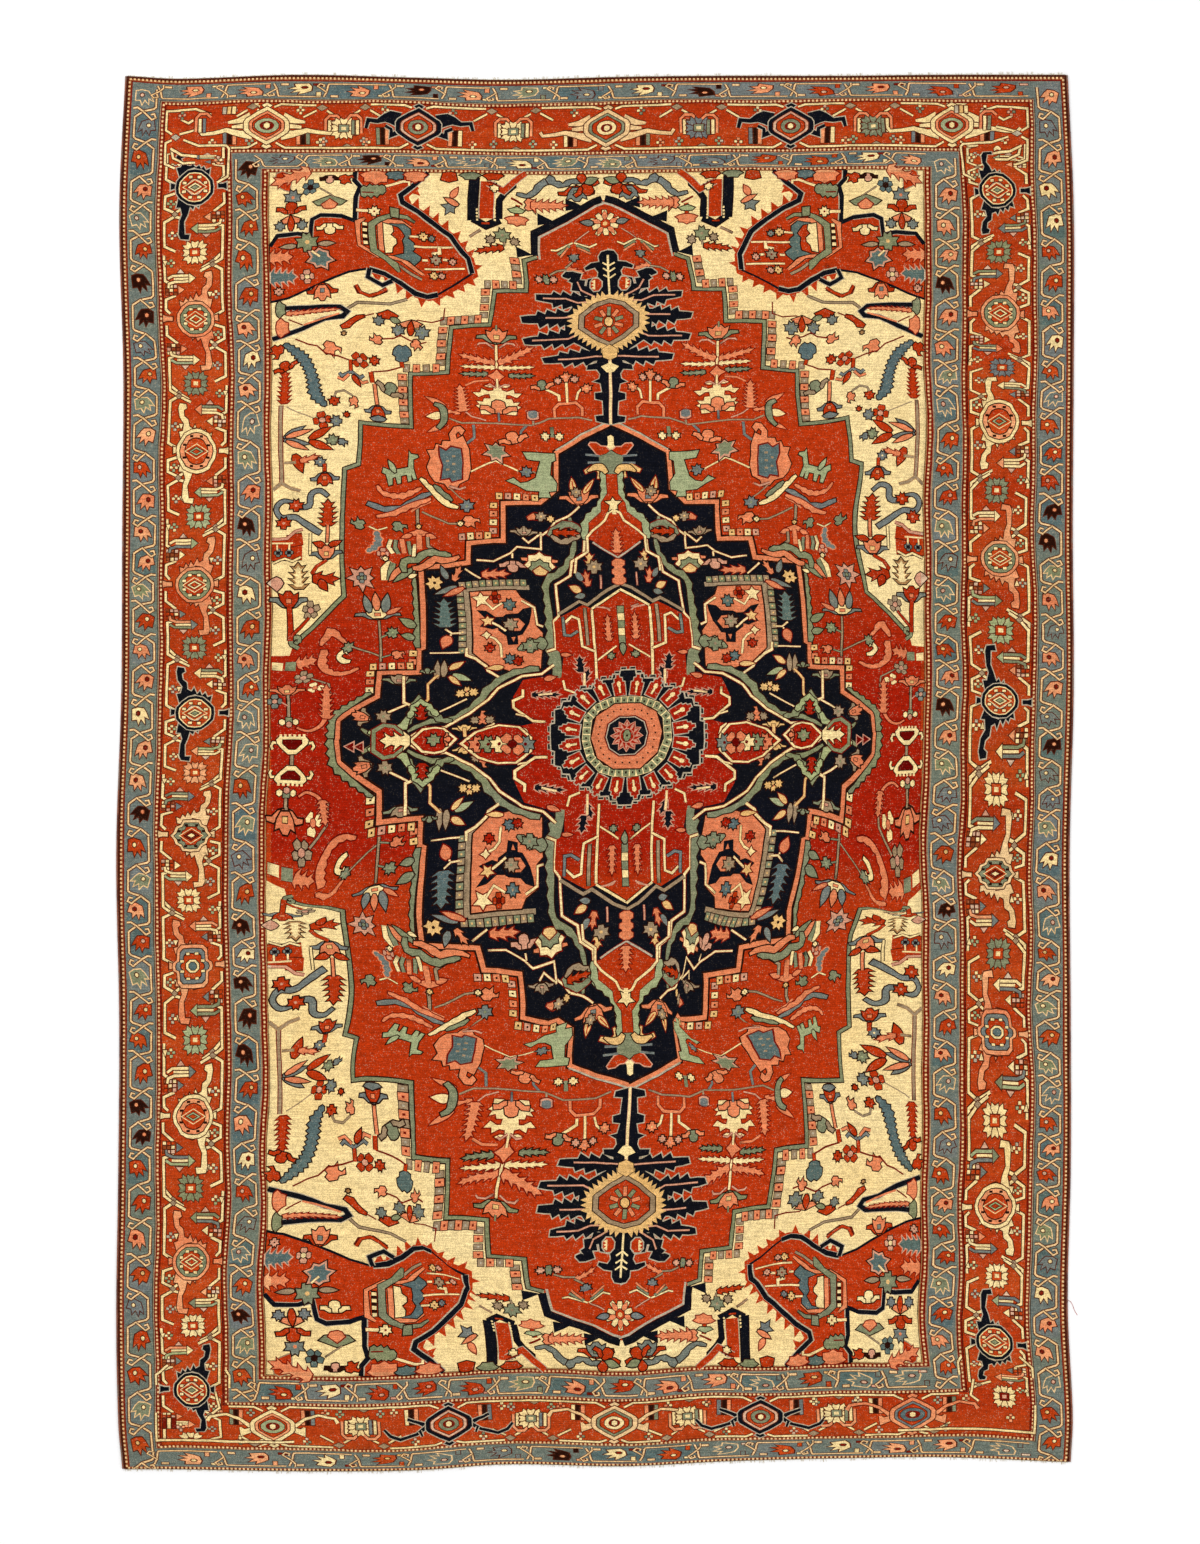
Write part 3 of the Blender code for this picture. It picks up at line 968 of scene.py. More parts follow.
posy 110 121 0 6.5 greige green
line cream 2 deep .6 137 112 126 106 121 100 120 86
star 134 111 0 5 4 cream deep .5
posy 131 97 0 4.4 red deep
posy 112 84 20 5 blue slate
posy 104 82 20 4.4 red deep
posy 92 98 0 7 green greige
leaf 118 75 90 16 5 gold deep
leaf 43 72 4 17 12 navy pink 3
leaf 40 62 -20 14 8 navy pink 2
line cream 2 pink .5 40 71 40 52
leaf 90 47 -88 28 8 navy pink 4
line cream 1.6 pink .4 84 47 70 49
leaf 13 103 0 28 9 salmon deep 5
posy 12 87 0 3.6 green greige
line cream 1.6 deep .5 27 83 6 97
leaf 78 64 -75 12 5 salmon deep
leaf 62 90 -90 10 4 salmon deep
# the medallion's red middle
line cream 2.4 deep .8 28 138 28 62
line greige 3 brown .8 35 140 35 100
line cream 2.2 deep .8 56 124 49 131 42 128 41 99 28 93
line slate 2.6 brown .7 58 130 58 111 52 110 44 115
line cream 2 deep .6 60 63 58 54 48 50
line cream 2.4 deep .9 99 52 99 45 108 40 108 33 98 25 90 19 78 18
line cream 1.6 deep .6 106 26 98 24
line cream 2.2 deep .9 104 13 98 9 94 0
line cream 2.4 brown .9 0 157 28 139
line greige 3 brown .6 0 163 12 158 32 143 40 147 62 133
line pink 1.6 deep .5 18 140 10 137
bird 68 259 0 46 sage
"""
MOTIFS = {motif.__name__: motif for motif in (
    leaf, rosette, star, fan, cup, trefoil, posy, bud, beast, bird, tile, gem)}


def word(text):
    """A number or a name from the chart."""
    if text == "-":
        return None
    return text if text[0].isalpha() else float(text)


def from_chart(chart):
    """The patches of a chart's rows, its places going out to the left."""
    rings = []
    for row in chart.replace("\n ", " ").strip().splitlines():
        kind, *words = row.split()
        if kind == "#":
            continue
        if kind == "both":
            rings += mirrored(from_chart(" ".join(words)))
        elif kind in MOTIFS:
            across, up, turn, *shape = map(word, words)
            shape = [int(v) if isinstance(v, float) and v == int(v) else v for v in shape]
            rings += put(MOTIFS[kind](*shape), -across, up, turn)
        else:
            rings += DRAWN[kind](words)
    return rings


def outward(words):
    """Places from the chart's words, going out to the left."""
    return places(" ".join(words)) * (-1, 1)


def drawn_line(words):
    """A stem: wool, width or widths, edge and its width, places."""
    widths = [float(width) for width in words[1].split("/")]
    return stem(outward(words[4:]), words[0], widths, word(words[2]), float(words[3]))


def drawn_blade(words):
    """A blade: wool, edge, teeth, side, depth if given, widths, places."""
    at = next(k for k, text in enumerate(words) if "/" in text)
    wool, edge, count, side, *depth = map(word, words[:at])
    widths = [float(width) for width in words[at].split("/")]
    return blade(outward(words[at + 1:]), widths, wool, edge, int(count), side, *depth)


def drawn_shape(words):
    """A patch: wool, edge and its width, places round it."""
    return patch(outward(words[3:]), words[0], word(words[1]), float(words[2]))


def drawn_whole(words):
    """A patch of which only the left half is charted, out from its own middle line: wool,
    edge and its width, that line's place, places."""
    middle = (-float(words[3]), 0)
    return patch(whole(outward(words[4:])) + middle, words[0], word(words[1]), float(words[2]))


def drawn_squares(words):
    """A row of squares: wools, pitch, width and height, edge, eye, start, places."""
    pitch, width, height, edge, eye, start = map(word, words[1:7])
    return dotted(outward(words[7:]), pitch, (width, height), words[0].split("/"), edge, eye, start)


DRAWN = {"line": drawn_line, "blade": drawn_blade, "shape": drawn_shape, "whole": drawn_whole,
         "squares": drawn_squares}


def quarter():
    """All patches of one quarter of the field."""
    return corner_ground() + leaf_palmette() + medallion_ground() + from_chart(QUARTER_CHART)


def arm(length, width):
    """A dark arm of the pendant, drawn to the right: a neck, barbs that rise slowly and drop
    steeply on their outer side, and a bare tip. Its places are parts of its length and of its
    half width."""
    ring = places("""
        0 -.55 .2 -.6 .34 -1 .37 -.5 .53 -.98 .56 -.46 .7 -.86 .73 -.42 .86 -.4 1 -.3 .97 .3 .84 .4
        .68 .46 .64 .98 .5 .52 .47 1.06 .32 .6 .28 1.08 .14 .62 0 .55""")
    return patch(ring * (length, width / 2), "navy", "grey", 1.1)


PENDANT_BODY = places("""
    0 517 -6 516 -9 511 -9 505 -17 504 -24 500 -23 497 -14 499 -11 494 -12 489 -22 487 -24 478 -16 472
    -26 468 -37 459 -44 449 -43 434 -34 420 -20 411 -12 402 -13 397 -22 395 -23 390 -13 390 -10 385
    -11 380 -17 377 -10 375 -8 366 -15 365 -15 359 -8 357 -7 342 -15 341 -14 336 -2 333""")
PENDANT_VEINS = """
both line pink 1.5 umber .3 20 463 32 463 44 468 66 469
both line pink 1.5 umber .3 38 448 62 448
both line pink 1.5 umber .3 28 431 40 425 74 425
both line pink 1.5 umber .3 8 404 30 403 50 403
both line pink 1.5 umber .3 15 468 29 476 33 485
both gem 14 481 0 6 8 red grey 1.15 1.2
line cream 2 - 0 0 512 0 468
both line cream 1.6 - 0 0 500 6 504
both line cream 1.6 - 0 0 494 6 498
both line cream 1.6 - 0 0 487 6 491
"""
PENDANT_FOOT = """
gem 0 441 0 4.2 8 gold brown 1.15 1.2
line cream 2.4 pink .4 0 410 0 333
whole gold brown .5 0 0 416 8 411 7 403 0 400
whole cream - 0 0 0 400 2 396 9 393 4 387 0 386
rosette 0 547 0 15 10 cream red brown gold
"""


def pendant():
    """The pendant above the medallion: a hexagon with a flower on a dark palmette of barbed
    arms."""
    barbed = mirrored(blade(places("-12 468 -24 474 -33 483 -36 493 -47 492"), (9, 12, 17, 15, 3),
                            "navy", "grey", 5, 0, 0.5))
    arms = []
    for across, up, length, width, turn in (
        (-20, 463, 54, 19, 172), (-34, 448, 51, 20, 181), (-28, 427, 55, 20, 183),
        (-8, 405, 57, 19, 182),
    ):
        arms += mirrored(put(arm(length, width), across, up, turn))
    arms += barbed
    # The pale lines of all arms lie under the body, and their dark wool over it.
    rings = arms[0::2] + patch(whole(PENDANT_BODY), "navy", "grey", 1.0) + arms[1::2]
    rings += from_chart(PENDANT_VEINS)
    rings += mirrored(put(teeth(places("-2 -5 -2 5"), 2.6, 3, "cream"), -14, 481))
    rings += mirrored(teeth(places("-4 411 -18 419 -36 434 -36 451 -18 465 -4 469"), 5.2, 5.6, "gold"))
    hexagon = whole(places("0 470 -18 465 -36 451 -36 434 -18 419 0 409"))
    for size, wool in ((1, "gold"), (0.86, "brown"), (0.83, "greige"), (0.70, "brown"), (0.67, "red")):
        rings.append(((0, 441) + (hexagon - (0, 441)) * size, wool))
    for k in range(10):
        petal = patch(box(3.4, 8 if k % 5 else 9, 11), ("green", "salmon")[k % 2], "brown", 0.6)
        rings += put(petal, 0, 441, k * 36)
    rings += from_chart(PENDANT_FOOT)
    petal = patch(leaf(9, 5, "salmon", None)[0][0] + (0, 5), "salmon", "brown", 0.5)
    for k in range(5):
        rings += put(petal, 0, 547, k * 72)
    return rings + from_chart("both leaf 12 548 80 12 6 slate")


# What stands on the upright middle line inside the medallion.
MEDALLION_TOP = """
both blade sage brown 8 -1 .5 6/6/7/9/8/6 9 284 9 268 10 256 17 243 30 231 33 212
whole red deep .8 0 0 284 5 282 5 260 12 250 13 241 27 229 27 219 31 213 25 211 10 199 0 192
both line cream 2.2 deep .7 0 243 6 240 10 232 24 221 30 214 30 199 42 191 43 176
star 0 249 0 8 5 cream
tile 0 243 0 4 9 cream -
leaf 0 198 0 25 13 salmon deep 5
both line grey 1.8 deep .6 25 209 10 199 0 193
gem 0 187 0 7 8 salmon deep .8 .7
gem 0 178 0 7 8 salmon deep .8 .7
gem 0 168 0 7 8 salmon deep .8 .7
tile 0 177 0 8 22 salmon -
whole cream brown .6 0 0 322 3 320 3 312 5 308 0 304
both blade red pink 2 -1 9/11/3 2 303 10 306 21 313
whole green brown .6 0 0 306 5 302 12 300 12 292 6 290 4 281
both line slate 2.2 - 0 11 300 26 301
both line slate 2.2 - 0 11 293 24 293
both blade gold brown 0 0 4/7/6/2 5 282 9 287 16 288 24 284
both line pink 1.6 - 0 24 140 13 138 10 135
tile 0 136 0 6 8 green brown .7
tile 0 128 0 6 8 cream brown .7
tile 0 120 0 6 8 green brown .7
tile 0 112 0 6 8 cream brown .7
tile 0 104 0 6 8 green brown .7
leaf 0 100 180 12 6 green
"""
# What stands on the level middle line: a flower and a barbed leaf beyond each of the two bowls
# at the long edge, and the small things inside the medallion.
LEVEL_LINE = """
line greige 2.2 brown .9 309 17 309 42
tile 309 19 0 5.4 5 green brown .9
gem 315 17 0 2.7 6 cream brown .9 1.2
gem 303 17 0 2.7 6 cream brown .9 1.2
gem 309 14.4 0 2.7 6 pink brown .9 1.2
line greige 2.2 brown .9 309 -50 309 -64
tile 309 -52 0 5.4 5 green brown .9
gem 315 -50 0 2.7 6 cream brown .9 1.2
gem 303 -50 0 2.7 6 cream brown .9 1.2
gem 309 -47.4 0 2.7 6 pink brown .9 1.2
rosette 321 39 0 7 4 slate pink
line pink 1.2 deep .4 315 38 310 34
blade salmon deep 0 0 4/3/2.6/2.2/1.6 277 23 281 15 288 9 295 8 302 11
blade salmon deep 0 0 4/3/2.6/2.2/1.6 277 -61 280 -54 286 -50 292 -49 298 -53
leaf 277 21 0 36 13 salmon deep 6
leaf 277 -56 188 24 11 salmon deep 5
"""
LOZENGE_FILLING = """
leaf 205 0 90 26 19 cream brown 3
posy 184 0 0 6 green greige
trefoil 174 0 -90 5 salmon salmon
shape deep pink 1 261 -6 254 -10 254 -2
shape deep pink 1 253 -6 246 -10 246 -2
posy 143 -6 0 8 salmon deep
posy 133 -6 0 8 green deep
posy 123 -6 0 8 cream deep
posy 99 -6 0 8 slate deep
rosette 111 -6 45 12 4 salmon deep
"""
BOWL = """
both line cream 2 brown .9 13 2 17 2.6 18.6 -1 17 -4
whole cream brown 1 0 11 8 14 5 13.4 2 9.6 -2.6 3.6 -8
squares cream 4 2.2 2.6 - - .5 12 9 -12 9
whole deep brown .8 0 8 4.4 8.2 1.6 2.8 -3.4
"""


def side_device():
    """The level middle line's figures: two cream bowls with their rims apart, what stands
    beyond them, and the red lozenges in the medallion."""
    bowl = from_chart(BOWL)
    rings = stem(places("-306 -12 -306 -24"), "greige", 2.6)
    rings += put(bowl, -306, -6) + put(bowl, -306, -33, 180) + from_chart(LEVEL_LINE)
    for ring, edge, share in (
        (places("-238 -11 -238 11 -228 18 -218 16 -203 2 -203 -2 -218 -16 -228 -18"), "green", 0.76),
        (places("-206 0 -194 12 -182 14 -174 12 -162 0 -174 -12 -182 -14 -194 -12"), "cream", 0.82),
        (places("-160 -5 -146 7 -124 15 -104 13 -93 1 -93 -13 -106 -25 -124 -26 -142 -20"),
         "cream", 0.88),
    ):
        middle = ring.mean(axis=0)
        rings += patch(ring, edge, "deep", 1.2)
        rings += patch(middle + (ring - middle) * share, "red", "deep", 0.7)
    return rings + from_chart(LOZENGE_FILLING)


def centre_rosette():
    """The middle of the medallion: dark stepped ring with red cells, a ring of green squares,
    a salmon octagon and a dark one with the red flower."""
    upper = places("""
        0 66 -7 66 -8 62 -15 62 -16 57 -25 57 -26 53 -35 53 -36 48 -45 48 -47 42 -55 42 -57 36 -64 36
        -66 29 -72 28 -72 14 -76 13 -76 0""")
    left = np.vstack((upper, (upper * (1, -1.02))[-2::-1]))
    rim = np.vstack((left, (left * (-1, 1))[-2:0:-1]))
    rings = dotted(np.vstack((rim, rim[:1])), 9.0, (5, 6.4), ("navy",), "grey")
    rings += patch(rim, "navy", "grey", 1.4)
    # The cells stand out from a ring whose powers of x and y of 2.8 add up to one.
    crown = places("""
        -5.6 0 5.6 0 6.2 11 4 11.5 4 14.5 1.8 15 1.4 17.5 -1.4 17.5 -1.8 15 -4 14.5 -4 11.5 -6.2 11""")
    for k in range(20):
        angle = 2 * math.pi * (k + 0.5) / 20
        c, s = math.cos(angle), math.sin(angle)
        reach = (abs(c) ** 2.8 + abs(s) ** 2.8) ** (-1 / 2.8)
        cell = patch(crown * (1, 1.22), "red", "grey", 0.9)
        cell += stem(places("0 3 0 11"), "cream", 2.0, "brown", 0.4)
        cell += patch(disc(2.3, 6, 1.3, 12), "cream")
        rings += put(cell, 46.5 * reach * c, 40.5 * reach * s, k * 18 + 9 - 90)
    ring = (0.82, 0.94) * places("""
        0 38 -19 37 -36 31 -47 20 -49 -4 -43 -22 -30 -34 -14 -38 12 -38 28 -34 42 -22 50 -4 48 20 36 31
        19 37 0 38""")
    rings += stem(ring, "cream", 8.0, "brown", 0.8)
    rings += dotted(ring, 6.6, (5.7, 7.2), ("green",), None, "brown")
    octagon = places("""
        -16 33 16 33 36 24 43 4 38 -17 17 -33 -15 -33 -35 -22 -43 -2 -38 21""") * (0.8, 0.96)
    for size, wool in ((1.05, "brown"), (1.01, "salmon"), (0.64, "deep"), (0.60, "grey"),
                       (0.57, "navy")):
        rings.append((octagon * size, wool))
    loop = np.vstack((octagon, octagon[:1])) * 0.83
    rings += dotted(loop, 7.0, (1.6, 1.6), ("brown",))
    petal = patch(leaf(15, 8, "red", None)[0][0], "red", "pink", 0.8)
    petal += put(leaf(7, 2.4, "pink", None), 0, 7)
    for k in range(12):
        rings += put(petal, turn=k * 30)
    rings += patch(disc(6.5, 10), "red", "pink", 0.9)
    rings += patch(disc(3.4, 8, 1.7), "green", "brown", 0.7)
    return rings + patch(box(2, 2), "brown")


# The borders.

# Depths of the border stripes from the rug's edge inwards, along each side and at each end.
# The narrow dotted stripes lie at the even steps, the wide ones at the odd steps.
STRIPE_STEPS = (0, 1, 2, 3, 4, 5, 6, 7)
SIDE_DEPTHS = (0, 6, 34, 41, 103, 110, 138, 147)
HEAD_DEPTHS = (0, 6, 22.5, 27.6, 72.3, 77, 91.4, 96)
FOOT_DEPTHS = (0, 2.5, 19.5, 23, 64.5, 68.5, 90, 96)


def cord(line, wool, width=1.9, edge_width=0.9):
    """A narrow line of the borders, with dark brown sides."""
    return stem(line, wool, width, "umber", edge_width)


def chip(ring, wool, edge_width=0.8):
    """A small patch of the borders, with a dark brown line round it."""
    return patch(ring, wool, "umber", edge_width)


def depth_at(edge, step):
    """Depth of a stripe step on one edge of the rug."""
    table = {"head": HEAD_DEPTHS, "foot": FOOT_DEPTHS}.get(edge, SIDE_DEPTHS)
    return np.interp(step, STRIPE_STEPS, table)


def stripe_line(step):
    """The rectangle at a depth between the stripes' edges, from its lower left corner."""
    side = HALF_ACROSS - depth_at("left", step)
    head = HALF_UP - depth_at("head", step)
    foot = depth_at("foot", step) - HALF_UP
    return np.array(((-side, foot), (side, foot), (side, head), (-side, head)))


def on_edge(patches, edge, step, width=None):
    """A border's chart laid along one edge of the rug. The chart's x runs from the stripe's
    outer side (-) to its inner one and its y along the rug. It is pressed to the stripe's
    depth where the width that it was drawn for is given."""
    outer, inner = depth_at(edge, (step, step + 1))
    squeeze = (inner - outer) / width if width else 1.0
    middle = (HALF_ACROSS if edge in ("left", "right") else HALF_UP) - (outer + inner) / 2
    placed = []
    for ring, wool in patches:
        inward, along = ring[:, 0] * squeeze, ring[:, 1]
        across = middle - inward if edge in ("right", "head") else inward - middle
        points = (across, along) if edge in ("left", "right") else (along, across)
        placed.append((np.stack(points, axis=1), wool))
    return placed


def stripe_grounds():
    """The grounds of all border stripes and the dotted rows in the narrow ones."""
    rings = []
    for step, wool in (
        (0, "umber"), (0.45, "rust"), (0.8, "deep"), (1.0, "guard"), (2.0, "brown"), (2.1, "greige"),
        (2.25, "deep"), (2.45, "rust"), (2.7, "deep"), (2.95, "brown"), (3.0, "madder"),
        (4.0, "brown"), (4.1, "deep"), (4.35, "rust"), (4.65, "deep"), (4.88, "greige"),
        (5.0, "guard"), (6.0, "greige"), (6.15, "deep"), (6.4, "rust"), (6.6, "deep"),
        (6.82, "tan"), (6.94, "brown"),
    ):
        rings.append((stripe_line(step), wool))
    for step, wool in ((0.5, "peach"), (2.57, "peach"), (4.5, "peach"), (6.5, "peach")):
        corners = stripe_line(step)
        rings += dotted(np.vstack((corners, corners[:1])), 4.1, (2.0, 1.9), (wool,))
    return rings


# The blossom in each bend of the guard's vine: smooth towards the open side (-), with three
# teeth towards the vine, rather like a bird's head.
GUARD_BLOSSOM = places("""
    -9 -5.4 -9.6 5.2 -4 7.2 3.4 6.4 6.4 2.6 10 -3.4 4.6 -1.6 6 -8.4 .8 -3.4 -1.4 -9.6 -3.8 -4.6""")


def guard_cell(blossom, eye, ground, turn, crossed, long):
    """Half a repeat of the angular vine, with its curl and the blossom in its bend.
    The vine is drawn out to the cell's length, and the blossom only a little."""
    part = long / 30
    # On the long cells the vine crosses over more steeply.
    steep = 1.0 if part < 1.5 else 0.5
    vine = np.array(((-10.4, -6), (-2, 0), (8.5, 3), (10.6, 5), (10.4, (long - 6) / steep)))
    bend = np.array(((-12, 2), (-2, 0), (8.5, 3 * steep), (10.6, 5), (10.4, long - 6),
                     (0, long), (-12, long - 1)))
    rings = [(bend, ground)] + cord(vine * (1, steep), "peach", 1.7)
    curl_line = places("-2 0 3 -4 7 -7.6 11 -5.4 9.4 -1.8 6 -2.6")
    rings += cord(curl_line * (1, 1.4 - 0.4 * steep), "peach", 1.5, 0.8)
    if crossed:
        rings += cord(places("-2 0 -7.6 3.6 -12 3"), "peach", 1.7, 0.8)
    grown = min(part, 1.5)
    outline = "peach" if blossom in ("guard", "green") else "umber"
    flower = patch(turned(GUARD_BLOSSOM, turn) * 0.88, blossom, outline, 1.0)
    flower += put(chip(disc(1.8, 6), eye, 0.9), -2.4, 1.4)
    flower = [(ring * (1, grown) + (-1.6, 15.5 * part), wool) for ring, wool in flower]
    if part > 1.5:
        # On the long cells of the end stripes a bar and a bud stand beside the blossom.
        flower += chip(box(2.6, 8) + (-9, long - 9), eye)
        flower += chip(box(6, 4.0) + (6, long * 0.5 + 17), blossom)
        flower += chip(box(3, 7) + (-9, 8), "peach")
    return rings + flower


def guard_stripe(edge, step, seed):
    """The angular vine with its row of blossoms along one wide blue stripe. Every other cell
    is turned over, and no two are quite of one length."""
    draw = random.Random(seed)
    on_side = edge in ("left", "right")
    reach = HALF_UP - depth_at("head", step) if on_side else HALF_ACROSS - depth_at("left", step + 1)
    nominal = {"left": 32.0, "right": 29.0}.get(edge, 57.0 if step == 1 else 46.0)
    count = int(2 * reach / nominal)
    lengths = np.array([draw.uniform(0.85, 1.15) for k in range(count)])
    ends = np.concatenate(((0,), np.cumsum(lengths))) / lengths.sum() * 2 * reach - reach
    rings = []
    for k in range(count):
        wools = draw.choice((("salmon", "deep"), ("red", "cream"), ("slate", "cream"), ("red", "pink"),
                             ("green", "cream"), ("madder", "gold"), ("salmon", "cream"),
                             ("guard", "pink"), ("brown", "salmon"), ("cream", "deep")))
        ground = draw.choice(("guard", "guard", "blue", "slate", "guard"))
        turn = draw.uniform(-25, 15)
        cell = guard_cell(*wools, ground, turn, draw.random() < 0.5, ends[k + 1] - ends[k])
        cell = put(cell, draw.uniform(-0.4, 0.4), ends[k], flip=k % 2 == 1)
        rings += on_edge(cell, edge, step, 28)
    return rings


# The main border's wools: outline, its edge, ring, pale ring, heart.
PALMETTE_WOOLS = {
    "navy": ("navy", "grey", "pink", "cream", "green"),
    "salmon": ("salmon", "umber", "green", "cream", "red"),
    "cream": ("cream", "umber", "salmon", "sage", "red"),
    "teal": ("peach", "umber", "green", "deep", "cream"),
    "rose": ("salmon", "umber", "slate", "cream", "blue"),
}


def diamond(width, height, wool, edge="umber"):
    """A lozenge."""
    w, h = width / 2, height / 2
    return patch(((-w, 0), (0, -h), (w, 0), (0, h)), wool, edge, 0.7)


PETAL = places("-.09 .36 .09 .36 .3 .7 .25 1 0 .84 -.25 1 -.3 .7")


def petals(radius, wool, heart, core, stretch=1.0):
    """An open flower: eight notched petals round a box with a light core."""
    rings = []
    for k in range(8):
        petal = PETAL * radius * (0.92, 1.04 if k % 2 else 0.9)
        rings += put(chip(petal, wool), turn=45 * k)
    rings += chip(box(0.7 * radius, 0.6 * radius), core)
    rings += patch(box(0.34 * radius, 0.28 * radius), heart)
    return [(ring * (stretch, 1), w) for ring, w in rings]


def sprig(draw, wools=("cream", "pink", "salmon")):
    """A small loose flower of four separate squares."""
    rings = []
    for x, y in places("-2.6 0 2.6 .4 0 2.8 .2 -2.8"):
        rings += put(chip(box(2.6, 2.3), draw.choice(wools), 0.6), x, y)
    return rings


# Outlines of one repeat of the main side border, from the palmette's middle: a quarter of each
# kind's body, then the arm up the border and the one down it.
BODY_QUARTERS = {
    "navy": places("18.5 0 17.6 6 13 11.6 7 16.4 0 17.4"),
    "salmon": places("19 0 18 6 13.4 12.4 7.4 17 0 17.6"),
    "cream": places("20 0 18.6 7 15.4 12 12.4 17.6 6 21 0 22"),
    "teal": places("20 0 16.6 3.5 15 8.4 10.4 10.4 8 15.2 0 15.8"),
    "rose": places("20 0 19 4 15.4 6.4 14.6 17.4 11 21.6 0 22.4"),
}
PALMETTE_CREST = places("""
    -14 12 -15 18 -11 16.5 -9 21 -6 18 -4 23 -1 19 2 26 4 22 8 24 9 31 13 34 14 40 11 42 12 46 18 47
    19 42 17.5 33 13 27 14 20 18 19 15 10""")
PALMETTE_STALK = places("""
    -6 -12 -4 -20 -1 -17 1 -22 4 -19 6 -27 9 -34 8 -47 3 -47 4 -52 12 -51 14 -46 13 -33 11 -27 13 -20
    17 -20 15 -10""")
# The cream meander of the same repeat.
MEANDER = (
    places("-19 24 -29 20 -29 10 -25 6"),
    places("-29 65 -29 39 -22 35"),
    places("-29 -6 -29 -16 -19 -24"),
    places("-18 -36 -28 -39 -28 -66"),
    places("19 3 28 8 28 49 19 54 7 48"),
    places("19 -6 28 -9 28 -20 18 -25 7 -18"),
    places("9 -31 18 -28 28 -34 28 -58 17 -63"),
    places("28 66 28 60 19 54"),
    places("-28 -66 -19 -75 -9 -81"),
)


def cane(draw, side):
    """A striped cane across the border with a hooked end, an arrow's head and a half disc."""
    wools = [draw.choice(("cream", "sage", "slate", "green", "salmon")) for k in range(3)]
    rings = cord(places("-3 38 -19 38 -25 36 -26 32"), wools[0], 2.2)
    rings += cord(((-3, 41), (-20, 41)), "cream", 1.9, 0.8)
    rings += cord(places("-3 44 -21 44 -26 41"), wools[1], 2.2)
    rings += chip(places("-4 36 -4 46 2 41"), wools[2], 0.9)
    rings += chip(places("-9 46.5 -16 46.5 -12.5 50.5"), "pink")
    return [(ring * (1, side), wool) for ring, wool in rings]


def side_unit(kind, flower, draw):
    """One repeat of the main border beside its palmette, pointing up the rug."""
    outline, edge, ring, pale, heart = PALMETTE_WOOLS[kind]
    rings = []
    for line in MEANDER:
        rings += cord(line, "cream", 2.3, 1.0)
    for x, y in places("19 54 18 -26 -19 -75"):
        rings += put(diamond(6, 5, "greige"), x, y)
    # On both sides of the palmette a ladder and a triangle in the gap of the outer line, and a
    # cane beside them.
    for side in (-1, 1):
        for x in (-27.5, -23.2, -18.9):
            for y in (26, 29.8, 33.6):
                wool = draw.choice(("cream", "pink", "red", "rust"))
                rings += chip(box(3, 2.6) + (x, side * y), wool, 0.7)
        triangle = places("-15.6 33.6 -15.6 26 -10 29.8") * (1, side)
        rings += chip(triangle, draw.choice(("salmon", "cream", "slate")))
        rings += cane(draw, side)
    for x, y, wools in ((22, 24, ("cream", "grey")), (22, -16, ("sage", "cream")),
                        (20, -47, ("cream", "grey")), (-22, 57, ("sage", "cream"))):
        rings += put(sprig(draw, wools), x, y)
        rings += chip(((x - 8, y + 2.6), (x - 3.8, y + 2.6), (x - 6, y - 2.4)), "cream")
    rings += put(petals(13, flower, "cream", "red"), -2, -65)
    for x, turn in ((18, -90), (-27, 90)):
        rings += put(patch(places("-2 0 2 0 2 5 3.4 9 -3.4 9 -2 5"), outline, edge),
                     x - (4 if x > 0 else -4), 1, turn)
    rings += patch(PALMETTE_CREST, outline, edge, 1.0) + patch(PALMETTE_STALK, outline, edge, 1.0)
    quarter = BODY_QUARTERS[kind]
    right = np.vstack((quarter[::-1] * (1, -1), quarter[1:]))
    body = np.vstack((right, right[::-1] * (-1, 1)))
    layers = patch(body, outline, edge, 0.9)
    if kind == "navy":
        sizes = ((0.84, "cream"), (0.78, "red"), (0.5, "brown"), (0.45, ring))
    else:
        sizes = ((0.86, "brown"), (0.81, ring), (0.62, "brown"), (0.57, "red"))
    layers += [(body * size, wool) for size, wool in sizes]
    # Notches or squares round the ring, then the lozenge or the eye in its middle.
    notched = kind in ("cream", "teal")
    notch, rim = ("brown", None) if notched else ("cream", "brown")
    size = 0.72 if notched else 0.62
    for angle in np.radians(22.5 + 45 * np.arange(8)):
        spot = (18 * size * math.cos(angle), body[:, 1].max() * size * math.sin(angle))
        layers += put(patch(box(3.4, 2.4), notch, rim, 0.6), *spot)
    if kind == "rose":
        layers += patch(disc(7, 8), pale, "brown", 0.9) + patch(disc(4, 8), heart, "brown", 0.8)
    else:
        layers += diamond(22, 14, "red", "cream") + diamond(14, 8.6, pale, "brown")
        layers += diamond(7, 4, heart, "brown")
    return rings + layers


SIDE_PALMETTES = {
    # up the rug, palmette, the open flower below it
    "left": (
        (587, "navy", "cream"), (455, "salmon", "green"), (322, "cream", "sage"),
        (190, "salmon", "green"), (60, "navy", "salmon"), (-61, "teal", "cream"),
        (-192, "rose", "sage"), (-344, "cream", "green"), (-488, "salmon", "cream"),
        (-617, "navy", "cream"),
    ),
    "right": (
        (580, "navy", "cream"), (457, "salmon", "green"), (348, "cream", "slate"),
        (210, "salmon", "green"), (67, "navy", "sage"), (-107, "teal", "cream"),
        (-267, "rose", "green"), (-442, "cream", "cream"), (-580, "navy", "cream"),
    ),
}


